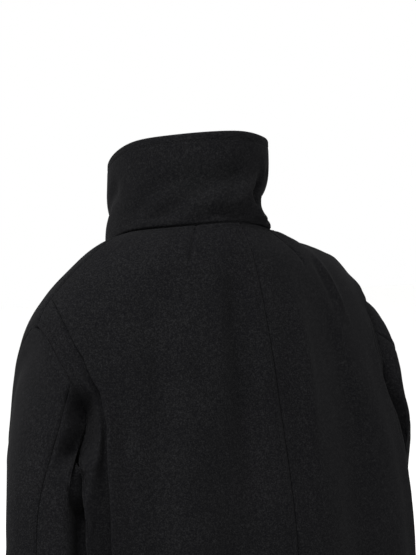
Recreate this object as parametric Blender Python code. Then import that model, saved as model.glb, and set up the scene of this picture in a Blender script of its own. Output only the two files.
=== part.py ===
"""Wool biker jacket, worn and empty: a tall standing collar, a back with a centre seam and a swing pleat
behind each arm, two-piece sleeves, and a plain front closed by an offset zip.

Metres, +Z up. The jacket faces -Y, so +X is the wearer's left. The origin is the middle of the neck seam.
Angles go round the body in degrees: 0 is the wearer's left side, 90 the centre back, 180 the right side
and -90 the centre front. A level counts down the body's sections: 0 is the neck seam, 8 the hem.
"""
import math
from collections import namedtuple

import bpy
import numpy as np

# Cloth and seams
MELTON_WALL = 0.0026          # one layer of heavy wool melton, with its fusing
COLLAR_WALL = 0.0052          # two layers, turned and topstitched
SEAM_GAP = 0.0003             # pieces stand this far apart at a seam
HALF_GAP = SEAM_GAP / 2

# Pose of the general figure that holds the jacket
SHOULDER_TILT = -0.075        # rise per metre towards the left: the left shoulder hangs lower
COLLAR_ROLL = 0.060           # the neck seam rises towards the left instead
BODY_LEAN = -0.006            # the body below the shoulders hangs this far to the right

# Sections of the body, one row for each level from neck to hem. Each row gives the centre back, the back
# corner behind the arm, the side under the arm, the breast corner and the centre front, for the left half.
BodySection = namedtuple("BodySection", (
    "back_y back_z corner_x corner_y corner_z side_x side_y side_z "
    "breast_x breast_y breast_z front_y front_z"))
BODY_SECTIONS = (
    BodySection(.098, .018, .067, .070, .011, .090, .000, .000, .066, -.072, -.023, -.098, -.033),
    BodySection(.122, -.018, .112, .083, -.018, .137, .003, -.013, .108, -.080, -.050, -.112, -.072),
    BodySection(.141, -.070, .156, .087, -.059, .183, .005, -.035, .148, -.088, -.090, -.122, -.115),
    BodySection(.157, -.128, .190, .092, -.115, .218, .006, -.080, .167, -.092, -.138, -.129, -.158),
    BodySection(.169, -.195, .212, .103, -.182, .213, .005, -.160, .180, -.095, -.195, -.134, -.205),
    BodySection(.181, -.260, .228, .116, -.255, .180, .002, -.250, .174, -.097, -.260, -.136, -.260),
    BodySection(.194, -.340, .236, .127, -.340, .154, .000, -.340, .168, -.099, -.340, -.137, -.340),
    BodySection(.202, -.460, .238, .132, -.460, .168, .000, -.460, .174, -.101, -.460, -.138, -.460),
    BodySection(.205, -.620, .236, .134, -.620, .194, .000, -.620, .186, -.104, -.620, -.140, -.620),
)
HEM_LEVEL = len(BODY_SECTIONS) - 1

# Soft folds of the cloth: each runs from one angle at its top to another at its foot, and swells in
# between two levels. A trough has a negative height.
Fold = namedtuple("Fold", "top_angle foot_angle top_level full_level width height")
BODY_FOLDS = (
    Fold(82, 77, 1.2, 5.0, 6.0, -.0085),
    Fold(73, 69, 1.8, 5.0, 5.0, .0050),
    Fold(64, 60, 2.2, 4.6, 4.0, -.0050),
    Fold(99, 97, 1.8, 4.0, 5.0, .0050),
    Fold(112, 106, 1.4, 3.6, 5.0, -.0065),
    Fold(122, 118, 2.6, 5.0, 5.0, .0040),
    Fold(-58, -64, 2.4, 5.6, 6.0, -.0060),
    Fold(-44, -50, 3.4, 6.0, 5.0, .0050),
    Fold(-122, -117, 2.4, 5.6, 6.0, -.0060),
    Fold(-136, -131, 3.4, 6.0, 5.0, .0050),
)

# Seam lines on the body: level against angle, for the left half. The right half mirrors them.
Mark = namedtuple("Mark", "level angle")
SHOULDER_SEAM = (Mark(0, 3), Mark(3.0, 0))
PLEAT_EDGE = (Mark(2.40, 1.4), Mark(2.53, 12), Mark(2.72, 25), Mark(3.0, 37), Mark(3.5, 46), Mark(4.0, 49),
              Mark(5.0, 50.5), Mark(6.0, 51), Mark(8.0, 51))
ARMHOLE_BACK = (Mark(3.0, 0), Mark(3.08, 11), Mark(3.2, 21), Mark(3.45, 33), Mark(3.8, 40), Mark(4.2, 41),
                Mark(4.6, 35), Mark(4.85, 27), Mark(5.08, 19), Mark(5.27, 11), Mark(5.42, 4), Mark(5.52, -2))
ARMHOLE_FRONT = (Mark(3.0, 0), Mark(3.08, -13), Mark(3.2, -22), Mark(3.45, -32), Mark(3.8, -38), Mark(4.2, -40),
                 Mark(4.6, -39), Mark(4.85, -36), Mark(5.08, -30), Mark(5.27, -22), Mark(5.42, -12),
                 Mark(5.52, -2))
SIDE_SEAM_ANGLE = -2
PLEAT_TOP_LEVEL = 2.40        # where the side back starts, at the shoulder seam
ARMHOLE_LEVELS = tuple(mark.level for mark in ARMHOLE_BACK)
PANEL_LEVELS = ((0, .45, .95, 1.45, 1.95, PLEAT_TOP_LEVEL, 2.53, 2.72) + ARMHOLE_LEVELS
                + (5.75, 6.1, 6.55, 7.0, 7.5, HEM_LEVEL))

# Columns of each panel, from its centre edge to its outer edge
BACK_COLUMNS = 14
FRONT_COLUMNS = 11
SIDE_BACK_COLUMNS = 8
PLEAT_FOLD_SHARE = .90        # share of the back's width where the pleat's overlap starts

# The pleats' free edges stand proud of the side back: the left one gapes, the right one is pulled flat
PLEAT_STAND = {"left": .0080, "right": .0022}
PLEAT_STAND_TOP_LEVEL = 2.6
PLEAT_STAND_FULL_LEVEL = 3.8

# The sleeves hang from the armholes: centre and radius of each section, upper arm to cuff
SleeveSection = namedtuple("SleeveSection", "x y z radius")
SLEEVES = {
    "left": (
        SleeveSection(.228, .053, -.318, .053),
        SleeveSection(.239, .066, -.390, .054),
        SleeveSection(.246, .054, -.470, .053),
        SleeveSection(.251, .022, -.545, .050),
        SleeveSection(.253, -.010, -.605, .047),
    ),
    "right": (
        SleeveSection(-.239, .030, -.318, .058),
        SleeveSection(-.244, .024, -.390, .057),
        SleeveSection(-.248, .002, -.470, .054),
        SleeveSection(-.250, -.032, -.545, .050),
        SleeveSection(-.250, -.064, -.600, .047),
    ),
}
# How far outward the sleeve leaves the armhole: over the shoulder, at its sides, at the underarm, and how far
# backward at its back
SleeveRoot = namedtuple("SleeveRoot", "shoulder sides underarm back")
SLEEVE_ROOTS = {"left": SleeveRoot(.12, .52, .16, 0), "right": SleeveRoot(.92, .93, .22, .58)}
CAP_RINGS = 6                 # sleeve rings from the armhole to the upper arm
ARM_RINGS = 9                 # sleeve rings from the upper arm to the cuff
SLEEVE_CLEARANCE = .012       # the body's cloth keeps this far from a sleeve that hangs against it
ARMHOLE_GAP = .0010           # between the sleeve and the armhole's edge
SLEEVE_SEAM_PULL = .00045     # each sleeve piece draws back this far from its seams, where they turn sharply
SLEEVE_REST = .009            # a sleeve's cloth stays at least this far out from the body's
PRESS_TOP = -.16              # heights where a sleeve starts to press the body's cloth aside
PRESS_FULL = -.31
BACK_SEAM_LEVEL = 3.45        # where the sleeve's back seam meets the armhole
FRONT_SEAM_LEVEL = 4.6        # where its front seam does
RING_TURN_POWER = 1.25        # turns the sleeve so that its back seam lies behind the arm

# Folds of the sleeves: place along the sleeve (0 armhole, 1 cuff), middle of the fold round it, half
# length round it and half width along it
SleeveFold = namedtuple("SleeveFold", "along turn half_turn half_along height")
SLEEVE_FOLDS = (
    SleeveFold(.44, 250, 60, .030, -.0045),
    SleeveFold(.52, 300, 70, .035, -.0055),
    SleeveFold(.60, 230, 70, .030, -.0045),
    SleeveFold(.48, 260, 60, .028, .0035),
    SleeveFold(.80, 90, 80, .040, -.0030),
)

# Collar: a standing band on the neck seam, open at the zip
CollarSection = namedtuple("CollarSection", "share back_y corner_x corner_y side_x breast_x breast_y front_y")
COLLAR_SECTIONS = (
    CollarSection(0.00, .098, .067, .070, .090, .066, -.072, -.098),
    CollarSection(0.22, .101, .067, .071, .088, .066, -.072, -.098),
    CollarSection(0.55, .100, .066, .069, .086, .065, -.071, -.097),
    CollarSection(1.00, .099, .066, .066, .085, .064, -.070, -.095),
)
COLLAR_HEIGHT_BACK = .104
COLLAR_HEIGHT_SIDE = .103
COLLAR_HEIGHT_FRONT = .096
COLLAR_ROWS = 9
# Creases where the tall collar buckles: from one place to another, as angle and share of the height
CollarCrease = namedtuple("CollarCrease", "angle_a share_a angle_b share_b width depth")
COLLAR_CREASES = (
    CollarCrease(126, .27, 166, .24, .0190, -.0095),
    CollarCrease(146, .30, 130, .60, .0095, -.0050),
    CollarCrease(26, .10, 84, .52, .0130, -.0042),
    CollarCrease(88, .50, 112, .60, .0110, -.0030),
    CollarCrease(80, .24, 116, .44, .0120, .0034),
    CollarCrease(205, .30, 250, .55, .0120, -.0045),
    CollarCrease(-54, .30, -20, .55, .0120, -.0045),
)

# Zip: an offset front closure from hem to collar top
ZIP_OFFSET = .045             # the zip hangs straight, this far to the left of the centre front
ZIP_GAP = .0100               # between the two front edges
TAPE_WIDTH = .0140
TAPE_WALL = .0010
TAPE_DEPTH = MELTON_WALL + .0006         # the tapes lie behind the fronts
TAPE_COLLAR_DEPTH = COLLAR_WALL + .0006
SLIDER_SHARE = .84            # of the collar's height: the zip is drawn up
SLIDER_LENGTH = .0120
SLIDER_WIDTH = .0080
SLIDER_RISE = .0008           # its face stands this far proud of the collar
BAIL_WIDTH = .0018
BAIL_WALL = .0014
BAIL_SPAN = .0064             # clear length under the bail
BAIL_RISE = .0034             # clear height under it
PULL_LENGTH = .0330
PULL_WIDTH = .0090
PULL_WALL = .0015
PULL_BAR = .0015              # the cross bar that turns under the bail
PULL_RAIL = .0016             # beside the eye
PULL_EYE = .0072              # clear length of the eye
PULL_LEVEL = .0017            # the cross bar's middle above the slider's face

# Colours
WOOL_BLACK = (.0075, .0075, .0078, 1)
TAPE_BLACK = (.0100, .0100, .0105, 1)
NICKEL_DARK = (.300, .300, .310, 1)


def clear_scene():
    for scene_object in list(bpy.data.objects):
        bpy.data.objects.remove(scene_object)


def cloth_material(name, colour, roughness, metallic):
    material = bpy.data.materials.new(name)
    material.use_nodes = True
    shader = material.node_tree.nodes["Principled BSDF"]
    shader.inputs["Base Color"].default_value = colour
    shader.inputs["Roughness"].default_value = roughness
    shader.inputs["Metallic"].default_value = metallic
    return material


def smooth_through(knots, values, at):
    """A smooth curve through the values at the knots, read at one place."""
    knots = np.asarray(knots, float)
    values = np.asarray(values, float)
    slopes = np.gradient(values, knots, axis=0)
    i = int(np.clip(np.searchsorted(knots, at) - 1, 0, len(knots) - 2))
    span = knots[i + 1] - knots[i]
    s = (at - knots[i]) / span
    return ((2 * s**3 - 3 * s**2 + 1) * values[i] + (s**3 - 2 * s**2 + s) * span * slopes[i]
            + (3 * s**2 - 2 * s**3) * values[i + 1] + (s**3 - s**2) * span * slopes[i + 1])


def ease(value, start, end):
    """0 at start, 1 at end, smooth between and level beyond."""
    s = min(1.0, max(0.0, (value - start) / (end - start)))
    return s * s * (3 - 2 * s)


def unit(vector):
    return vector / np.linalg.norm(vector)


def angle_between(a, b):
    """Signed difference of two angles in degrees, from -180 to 180."""
    return (a - b + 180) % 360 - 180


def marked_angle(marks, level):
    return float(np.interp(level, [m.level for m in marks], [m.angle for m in marks]))


def ring_through(points, angle):
    """A closed smooth curve through eight points, one every 45 degrees from the left side."""
    place = (angle % 360) / 45
    i = int(place)
    s = place - i
    p0, p1, p2, p3 = (points[(i + k) % 8] for k in (-1, 0, 1, 2))
    return .5 * (2 * p1 + (p2 - p0) * s + (2 * p0 - 5 * p1 + 4 * p2 - p3) * s**2
                 + (3 * p1 - p0 - 3 * p2 + p3) * s**3)


def eight_points(section):
    """The section's left half and its mirror image, as the eight points of a ring."""
    mirror = np.array((-1, 1, 1))
    side = np.array((section.side_x, section.side_y, section.side_z))
    corner = np.array((section.corner_x, section.corner_y, section.corner_z))
    breast = np.array((section.breast_x, section.breast_y, section.breast_z))
    back = np.array((0, section.back_y, section.back_z))
    front = np.array((0, section.front_y, section.front_z))
    return np.array((side, corner, back, corner * mirror, side * mirror, breast * mirror, front, breast))


SECTION_POINTS = np.array([eight_points(section) for section in BODY_SECTIONS])
SECTION_LEVELS = np.arange(len(BODY_SECTIONS))


def pose_lift(x, level):
    """How far the figure's tilt lifts the cloth at a place."""
    shoulders = ease(level, .3, 2.2) * (1 - ease(level, 3.5, 6.5))
    neck = 1 - ease(level, 0, 1.6)
    return x * (SHOULDER_TILT * shoulders + COLLAR_ROLL * neck)


def body_form(angle, level):
    """The body's smooth form, without folds."""
    point = ring_through(smooth_through(SECTION_LEVELS, SECTION_POINTS, level), angle)
    point[2] += pose_lift(point[0], level)
    point[0] += BODY_LEAN * ease(level, 2.5, 5.5)
    return point


def normal_of(surface, first, second, step_first, step_second):
    """Outward normal of a surface of an angle and a place down it."""
    along = surface(first + step_first, second) - surface(first - step_first, second)
    down = surface(first, second + step_second) - surface(first, second - step_second)
    return unit(np.cross(down, along))


def fold_height(angle, level):
    height = 0
    for fold in BODY_FOLDS:
        middle = np.interp(level, (fold.top_level, HEM_LEVEL), (fold.top_angle, fold.foot_angle))
        across = angle_between(angle, middle) / fold.width
        height += fold.height * ease(level, fold.top_level, fold.full_level) * math.exp(-across**2)
    return height


def pressed_clear(point):
    """Moves the cloth aside where a sleeve hangs against it."""
    for sections in SLEEVES.values():
        heights = [s.z for s in reversed(sections)]
        middle_x = np.interp(point[2], heights, [s.x for s in reversed(sections)])
        middle_y = np.interp(point[2], heights, [s.y for s in reversed(sections)])
        radius = np.interp(point[2], heights, [s.radius for s in reversed(sections)])
        away = point[:2] - (middle_x, middle_y)
        distance = np.linalg.norm(away)
        clear = (radius * 1.05 + SLEEVE_CLEARANCE) * ease(point[2], PRESS_TOP, PRESS_FULL)
        wanted = (distance**8 + clear**8)**.125
        point[:2] += away / distance * (wanted - distance)
    return point


def body_surface(angle, level):
    """Outer face of the body's cloth, with its folds."""
    level = min(max(level, -.02), HEM_LEVEL + .02)
    normal = normal_of(body_form, angle, level, .5, .02)
    return pressed_clear(body_form(angle, level) + normal * fold_height(angle, level))


def body_normal(angle, level):
    return normal_of(body_surface, angle, level, .8, .03)


def mirrored(angle, side):
    """The same angle on the wearer's left or right half."""
    return angle if side == "left" else 180 - angle


def side_edge(marks_above, marks_armhole, level):
    """Angle of a panel's outer edge: shoulder seam, then armhole, then side seam."""
    if level <= ARMHOLE_LEVELS[0]:
        return marked_angle(marks_above, level)
    if level <= ARMHOLE_LEVELS[-1]:
        return marked_angle(marks_armhole, level)
    return SIDE_SEAM_ANGLE


def back_edge(level):
    """Angle of the back's outer edge: shoulder seam, then the pleat's free edge."""
    if level < PLEAT_EDGE[0].level:
        return marked_angle(SHOULDER_SEAM, level)
    return marked_angle(PLEAT_EDGE, level)


def back_shares():
    """Columns of the back from the centre seam, with the pleat's overlap as the last one."""
    return [PLEAT_FOLD_SHARE * j / (BACK_COLUMNS - 1) for j in range(BACK_COLUMNS)] + [1.0]


def back_angle(share, level):
    return 90 + (back_edge(level) - 90) * share


def zip_angle(level):
    """Angle of the zip's middle at a level, found by halving."""
    low, high = -90.0, -30.0
    for _ in range(30):
        middle = (low + high) / 2
        low, high = (middle, high) if body_form(middle, level)[0] < ZIP_OFFSET else (low, middle)
    return (low + high) / 2


def beside_zip(level, side, distance):
    """Angle at a distance round the body from the zip's middle."""
    middle = zip_angle(level)
    step = .5
    degree = np.linalg.norm(body_form(middle + step, level) - body_form(middle - step, level)) / (2 * step)
    return middle + distance / degree * (1 if side == "left" else -1)


def front_angle(column, level, side):
    """Angle of a front's column: its edge beside the zip, the edge of the tape behind it, then on to the side."""
    if column == 0:
        return beside_zip(level, side, ZIP_GAP / 2)
    start = beside_zip(level, side, TAPE_WIDTH)
    outer = mirrored(side_edge(SHOULDER_SEAM, ARMHOLE_FRONT, level), side)
    if side == "right":
        outer -= 360
    return start + (outer - start) * (column - 1) / (FRONT_COLUMNS - 1)


def wall_mesh(outer, inner):
    """Vertices and faces of a closed wall between two grids of points, rows by columns."""
    rows, columns = outer.shape[:2]
    vertices = np.concatenate((outer.reshape(-1, 3), inner.reshape(-1, 3)))
    below = rows * columns
    faces = []
    for r in range(rows - 1):
        for c in range(columns - 1):
            a = r * columns + c
            b, d = a + 1, a + columns
            across = np.linalg.norm(vertices[a] - vertices[d + 1]) < np.linalg.norm(vertices[b] - vertices[d])
            for face in ((a, d, d + 1), (a, d + 1, b)) if across else ((a, d, b), (b, d, d + 1)):
                faces.append(face)
                faces.append(tuple(below + k for k in reversed(face)))
    rim = ([c for c in range(columns)]
           + [r * columns + columns - 1 for r in range(1, rows)]
           + [(rows - 1) * columns + c for c in range(columns - 2, -1, -1)]
           + [r * columns for r in range(rows - 2, 0, -1)])
    for k, a in enumerate(rim):
        b = rim[(k + 1) % len(rim)]
        faces.append((a, b, below + b, below + a))
    return vertices, faces


def add_object(name, vertices, faces, material):
    mesh = bpy.data.meshes.new(name)
    mesh.from_pydata([tuple(v) for v in vertices], [], faces)
    mesh.validate()
    made = bpy.data.objects.new(name, mesh)
    bpy.context.scene.collection.objects.link(made)
    if signed_volume(mesh) < 0:
        mesh.flip_normals()
    mesh.materials.append(material)
    mesh.shade_smooth()
    mesh.set_sharp_from_angle(angle=math.radians(40))
    return made


def signed_volume(mesh):
    mesh.calc_loop_triangles()
    points = np.array([v.co for v in mesh.vertices])
    corners = points[np.array([t.vertices for t in mesh.loop_triangles])]
    return np.linalg.det(corners).sum() / 6


def pull_in_edges(outer, normals, edges, distance=HALF_GAP):
    """Moves the named edges of a grid back along its surface, by half the seam gap if not told otherwise."""
    moved = outer.copy()
    for edge in edges:
        at, beside = {"first_column": (np.s_[:, 0], np.s_[:, 1]), "last_column": (np.s_[:, -1], np.s_[:, -2]),
                      "first_row": (np.s_[0], np.s_[1]), "last_row": (np.s_[-1], np.s_[-2])}[edge]
        inward = outer[beside] - outer[at]
        inward -= normals[at] * np.sum(inward * normals[at], axis=-1, keepdims=True)
        moved[at] += inward / np.linalg.norm(inward, axis=-1, keepdims=True) * distance
    return moved


def body_panel(name, levels, angle_at, columns, lift_at, edges, material):
    """One panel of the body: a wall on the body's surface between two edge lines."""
    outer = np.empty((len(levels), columns, 3))
    normals = np.empty_like(outer)
    for r, level in enumerate(levels):
        for c in range(columns):
            angle = angle_at(c, level)
            normals[r, c] = body_normal(angle, level)
            outer[r, c] = body_surface(angle, level) + normals[r, c] * lift_at(c, level)
    outer = pull_in_edges(outer, normals, edges)
    vertices, faces = wall_mesh(outer, outer - normals * MELTON_WALL)
    return add_object(name, vertices, faces, material), outer, normals


def flat(_column, _level):
    return 0.0


def make_back(side, material):
    shares = back_shares()

    def angle_at(column, level):
        return mirrored(back_angle(shares[column], level), side)

    def pleat_stand(column, level):
        if column < len(shares) - 1:
            return 0.0
        return PLEAT_STAND[side] * ease(level, PLEAT_STAND_TOP_LEVEL, PLEAT_STAND_FULL_LEVEL)

    return body_panel("back_" + side, PANEL_LEVELS, angle_at, len(shares), pleat_stand,
                      ("first_column", "last_column", "first_row"), material)


def make_side_back(side, material):
    """The panel behind the arm: it starts under the back's pleat and ends at the armhole and side seam."""
    levels = [level for level in PANEL_LEVELS if level >= PLEAT_TOP_LEVEL]
    under = MELTON_WALL + SEAM_GAP

    def angle_at(column, level):
        fold = back_angle(PLEAT_FOLD_SHARE, level)
        edge = back_edge(level)
        outer = side_edge(SHOULDER_SEAM, ARMHOLE_BACK, level)
        if column == 0:
            return mirrored(fold, side)
        return mirrored(edge + (outer - edge) * (column - 1) / SIDE_BACK_COLUMNS, side)

    def sunk(column, _level):
        return -under * (1 - ease(column, 1, 4))

    return body_panel("side_back_" + side, levels, angle_at, SIDE_BACK_COLUMNS + 2, sunk,
                      ("last_column",), material)


def make_front(side, material):
    def angle_at(column, level):
        return front_angle(column, level, side)

    return body_panel("front_" + side, PANEL_LEVELS, angle_at, FRONT_COLUMNS + 1, flat,
                      ("last_column", "first_row"), material)


def armhole_loop(side):
    """Points of the armhole from the shoulder, down its back to the underarm and up its front."""
    back = [(level, marked_angle(ARMHOLE_BACK, level)) for level in ARMHOLE_LEVELS]
    front = [(level, marked_angle(ARMHOLE_FRONT, level)) for level in reversed(ARMHOLE_LEVELS[1:-1])]
    places = [(level, mirrored(angle, side)) for level, angle in back + front]
    points = np.array([body_surface(angle, level) for level, angle in places])
    normals = np.array([body_normal(angle, level) for level, angle in places])
    return points, normals


def loop_turns(points):
    """Angle round the sleeve for each armhole point: 0 outside, 90 back, 180 underarm, 270 front."""
    under = len(ARMHOLE_LEVELS) - 1
    closed = np.concatenate((points, points[:1]))
    steps = np.linalg.norm(np.diff(closed, axis=0), axis=1)
    down = np.concatenate(([0], np.cumsum(steps[:under])))
    up = np.concatenate(([0], np.cumsum(steps[under:])))
    turns = list(180 * (down / down[-1])**RING_TURN_POWER)
    turns += list(360 - 180 * (1 - up[1:-1] / up[-1])**RING_TURN_POWER)
    return np.array(turns)


def sleeve_axis(side, share):
    """Centre, direction and radius of the sleeve, from upper arm (0) to cuff (1)."""
    sections = SLEEVES[side]
    knots = np.linspace(0, 1, len(sections))
    line = np.array(sections)
    here = smooth_through(knots, line, share)
    step = .01
    ahead = smooth_through(knots, line, min(1, share + step))
    behind = smooth_through(knots, line, max(0, share - step))
    return here[:3], unit(ahead[:3] - behind[:3]), here[3]


def sleeve_ring(side, share, turns):
    centre, direction, radius = sleeve_axis(side, share)
    outward = np.array((1.0 if side == "left" else -1.0, 0, 0))
    outward = unit(outward - direction * outward.dot(direction))
    backward = np.array((0, 1.0, 0))
    backward = unit(backward - direction * backward.dot(direction) - outward * backward.dot(outward))
    radians = np.radians(turns)[:, None]
    return centre + radius * (np.cos(radians) * outward + np.sin(radians) * backward)


def root_direction(side, turn):
    """Which way the sleeve leaves the armhole: over the shoulder, out at the sides, down at the underarm."""
    under = (1 - math.cos(math.radians(turn))) / 2
    root = SLEEVE_ROOTS[side]
    out = np.interp(under, (0, .5, 1), (root.shoulder, root.sides, root.underarm))
    back = root.back * math.sqrt(max(0, math.sin(math.radians(turn))))
    return unit(np.array((out if side == "left" else -out, back, -math.sqrt(1 - out**2))))


def sleeve_grid(side):
    """The sleeve's outer points, rings by turns, from the armhole to the cuff."""
    points, normals = armhole_loop(side)
    turns = loop_turns(points)
    roots = np.array([root_direction(side, turn) for turn in turns])
    bisector = roots + normals
    start = points + bisector / np.linalg.norm(bisector, axis=1, keepdims=True) * ARMHOLE_GAP
    upper_arm = sleeve_ring(side, 0, turns)
    down = sleeve_axis(side, 0)[1]
    reach = np.linalg.norm(upper_arm - start, axis=1, keepdims=True)
    rings = []
    for k in range(CAP_RINGS):
        s = k / CAP_RINGS
        rings.append((2 * s**3 - 3 * s**2 + 1) * start + (s**3 - 2 * s**2 + s) * reach * roots
                     + (3 * s**2 - 2 * s**3) * upper_arm + (s**3 - s**2) * reach * down)
    for k in range(ARM_RINGS + 1):
        rings.append(sleeve_ring(side, k / ARM_RINGS, turns))
    return np.array(rings), turns


def body_samples(side):
    """Places on the body's cloth round one sleeve, with their normals."""
    points = []
    normals = []
    for level in np.arange(3.3, HEM_LEVEL, .15):
        for angle in np.arange(-60, 66, 2.5):
            armhole = ARMHOLE_LEVELS[0] < level < ARMHOLE_LEVELS[-1]
            if armhole and marked_angle(ARMHOLE_FRONT, level) < angle < marked_angle(ARMHOLE_BACK, level):
                continue
            points.append(body_surface(mirrored(angle, side), level))
            normals.append(body_normal(mirrored(angle, side), level))
    return np.array(points), np.array(normals)


def kept_off_body(grid, side):
    """Eases the sleeve's points out from the body's cloth where they would touch it."""
    points, normals = body_samples(side)
    moved = grid.copy()
    for _ in range(5):
        push = np.zeros_like(moved)
        for ring in range(1, len(grid)):
            wanted = SLEEVE_REST * min(1, ring / 3)
            for column, place in enumerate(moved[ring]):
                apart = np.linalg.norm(points - place, axis=1)
                nearest = np.argmin(apart)
                depth = (place - points[nearest]).dot(normals[nearest])
                if apart[nearest] < .03 and depth < wanted:
                    push[ring, column] = normals[nearest] * (wanted - depth)
        push = .5 * push + .25 * (np.roll(push, 1, axis=1) + np.roll(push, -1, axis=1))
        push[1:-1] = .5 * push[1:-1] + .25 * (push[:-2] + push[2:])
        push[0] = 0
        moved += push
    return moved


def grid_normals(grid, outward_from):
    """Normals of a grid that closes on itself round each row."""
    along = np.roll(grid, -1, axis=1) - np.roll(grid, 1, axis=1)
    down = np.gradient(grid, axis=0)
    normals = np.cross(down, along)
    normals /= np.linalg.norm(normals, axis=2, keepdims=True)
    facing = np.sum(normals * (grid - outward_from), axis=2)
    return normals * np.sign(facing.sum())


def sleeve_fold_heights(rings, turns):
    heights = np.zeros((rings, len(turns)))
    for r in range(rings):
        for c, turn in enumerate(turns):
            for fold in SLEEVE_FOLDS:
                across = angle_between(turn, fold.turn) / fold.half_turn
                along = (r / (rings - 1) - fold.along) / fold.half_along
                heights[r, c] += fold.height * math.exp(-across**2 - along**2)
    return heights


def make_sleeve(side, material):
    """Two pieces, split at the back seam and the front seam."""
    grid, turns = sleeve_grid(side)
    grid = kept_off_body(grid, side)
    middle = grid.mean(axis=1, keepdims=True)
    normals = grid_normals(grid, middle)
    grid = grid + normals * sleeve_fold_heights(len(grid), turns)[:, :, None]
    normals = grid_normals(grid, middle)
    count = grid.shape[1]
    back_seam = ARMHOLE_LEVELS.index(BACK_SEAM_LEVEL)
    front_seam = count - ARMHOLE_LEVELS.index(FRONT_SEAM_LEVEL)
    pieces = {"top_sleeve_": [k % count for k in range(front_seam, count + back_seam + 1)],
              "under_sleeve_": list(range(back_seam, front_seam + 1))}
    for name, columns in pieces.items():
        outer = pull_in_edges(grid[:, columns], normals[:, columns], ("first_column", "last_column"), SLEEVE_SEAM_PULL)
        vertices, faces = wall_mesh(outer, outer - normals[:, columns] * MELTON_WALL)
        add_object(name + side, vertices, faces, material)


def collar_height(angle):
    s = math.sin(math.radians(angle))
    end = COLLAR_HEIGHT_BACK if s > 0 else COLLAR_HEIGHT_FRONT
    return COLLAR_HEIGHT_SIDE + (end - COLLAR_HEIGHT_SIDE) * s * s


def collar_ring_points():
    made = []
    for row in COLLAR_SECTIONS:
        section = BODY_SECTIONS[0]._replace(
            back_y=row.back_y, corner_x=row.corner_x, corner_y=row.corner_y, side_x=row.side_x,
            breast_x=row.breast_x, breast_y=row.breast_y, front_y=row.front_y)
        made.append(eight_points(section))
    return np.array(made)


COLLAR_POINTS = collar_ring_points()
COLLAR_SHARES = [row.share for row in COLLAR_SECTIONS]


def collar_form(angle, share):
    point = ring_through(smooth_through(COLLAR_SHARES, COLLAR_POINTS, share), angle)
    point[2] += pose_lift(point[0], 0) + share * collar_height(angle)
    return point


def crease_depth(angle, share):
    """Depth of the collar's buckles at a place, from its distance to each crease line."""
    round_it = .095           # metres of collar for each radian
    up = COLLAR_HEIGHT_BACK
    depth = 0
    for crease in COLLAR_CREASES:
        run = np.array((math.radians(crease.angle_b - crease.angle_a) * round_it,
                        (crease.share_b - crease.share_a) * up))
        place = np.array((math.radians(angle_between(angle, crease.angle_a)) * round_it,
                          (share - crease.share_a) * up))
        along = min(1, max(0, place.dot(run) / run.dot(run)))
        distance = np.linalg.norm(place - run * along)
        depth += crease.depth * math.exp(-(distance / crease.width)**2)
    return depth


def collar_surface(angle, share):
    normal = normal_of(lambda a, down: collar_form(a, 1 - down), angle, 1 - share, .8, .02)
    return collar_form(angle, share) + normal * crease_depth(angle, share) * ease(share, 0, .14)


def collar_normal(angle, share):
    return normal_of(lambda a, down: collar_surface(a, 1 - down), angle, 1 - share, 1.0, .02)


def neck_angles():
    """The neck seam's columns, from the zip's left edge round the back to its right edge."""
    left_front = [front_angle(c, 0, "left") for c in range(FRONT_COLUMNS + 1)]
    left_back = [back_angle(share, 0) for share in reversed(back_shares())]
    right_back = [180 - angle for angle in reversed(left_back)]
    right_front = [front_angle(c, 0, "right") + 360 for c in range(FRONT_COLUMNS, -1, -1)]
    return left_front + left_back[1:] + right_back[1:] + right_front[1:]


def make_collar(material):
    angles = neck_angles()
    shares = [r / (COLLAR_ROWS - 1) for r in range(COLLAR_ROWS)]
    outer = np.array([[collar_surface(a, s) for a in angles] for s in shares])
    normals = np.array([[collar_normal(a, s) for a in angles] for s in shares])
    outer[..., 2] += SEAM_GAP
    vertices, faces = wall_mesh(outer, outer - normals * COLLAR_WALL)
    add_object("collar", vertices, faces, material)


def zip_line(distance, side):
    """Points and normals behind a front's edge, from hem to collar top, at a distance from the zip's middle."""
    points = []
    normals = []
    for level in reversed(PANEL_LEVELS[1:]):
        angle = beside_zip(level, side, distance)
        normals.append(body_normal(angle, level))
        points.append(body_surface(angle, level) - normals[-1] * TAPE_DEPTH)
    angle = beside_zip(0, side, distance)
    for row in range(COLLAR_ROWS):
        share = row / (COLLAR_ROWS - 1)
        normals.append(collar_normal(angle, share))
        points.append(collar_surface(angle, share) - normals[-1] * TAPE_COLLAR_DEPTH)
    return points, normals


def make_tape(side, material):
    lines = [zip_line(distance, side) for distance in (HALF_GAP, ZIP_GAP / 2, TAPE_WIDTH)]
    outer = np.array([points for points, _ in lines]).transpose(1, 0, 2)
    normals = np.array([line_normals for _, line_normals in lines]).transpose(1, 0, 2)
    vertices, faces = wall_mesh(outer, outer - normals * TAPE_WALL)
    add_object("zip_tape_" + side, vertices, faces, material)


def slider_frame():
    """Place on the collar's outer face in the middle of the zip, and its across, up and outward directions."""
    angle = zip_angle(0)
    place = collar_surface(angle, SLIDER_SHARE)
    up = collar_surface(angle, SLIDER_SHARE + .02) - collar_surface(angle, SLIDER_SHARE - .12)
    outward = collar_normal(angle, SLIDER_SHARE)
    across = unit(np.cross(up, outward))
    up = unit(np.cross(outward, across))
    return place, across, up, outward


def placed(points, level):
    """Points given across, up and outward of the slider's face, in the jacket's frame."""
    place, across, up, outward = slider_frame()
    place = place + outward * level
    return [place + across * p[0] + up * p[1] + outward * p[2] for p in points]


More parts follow.
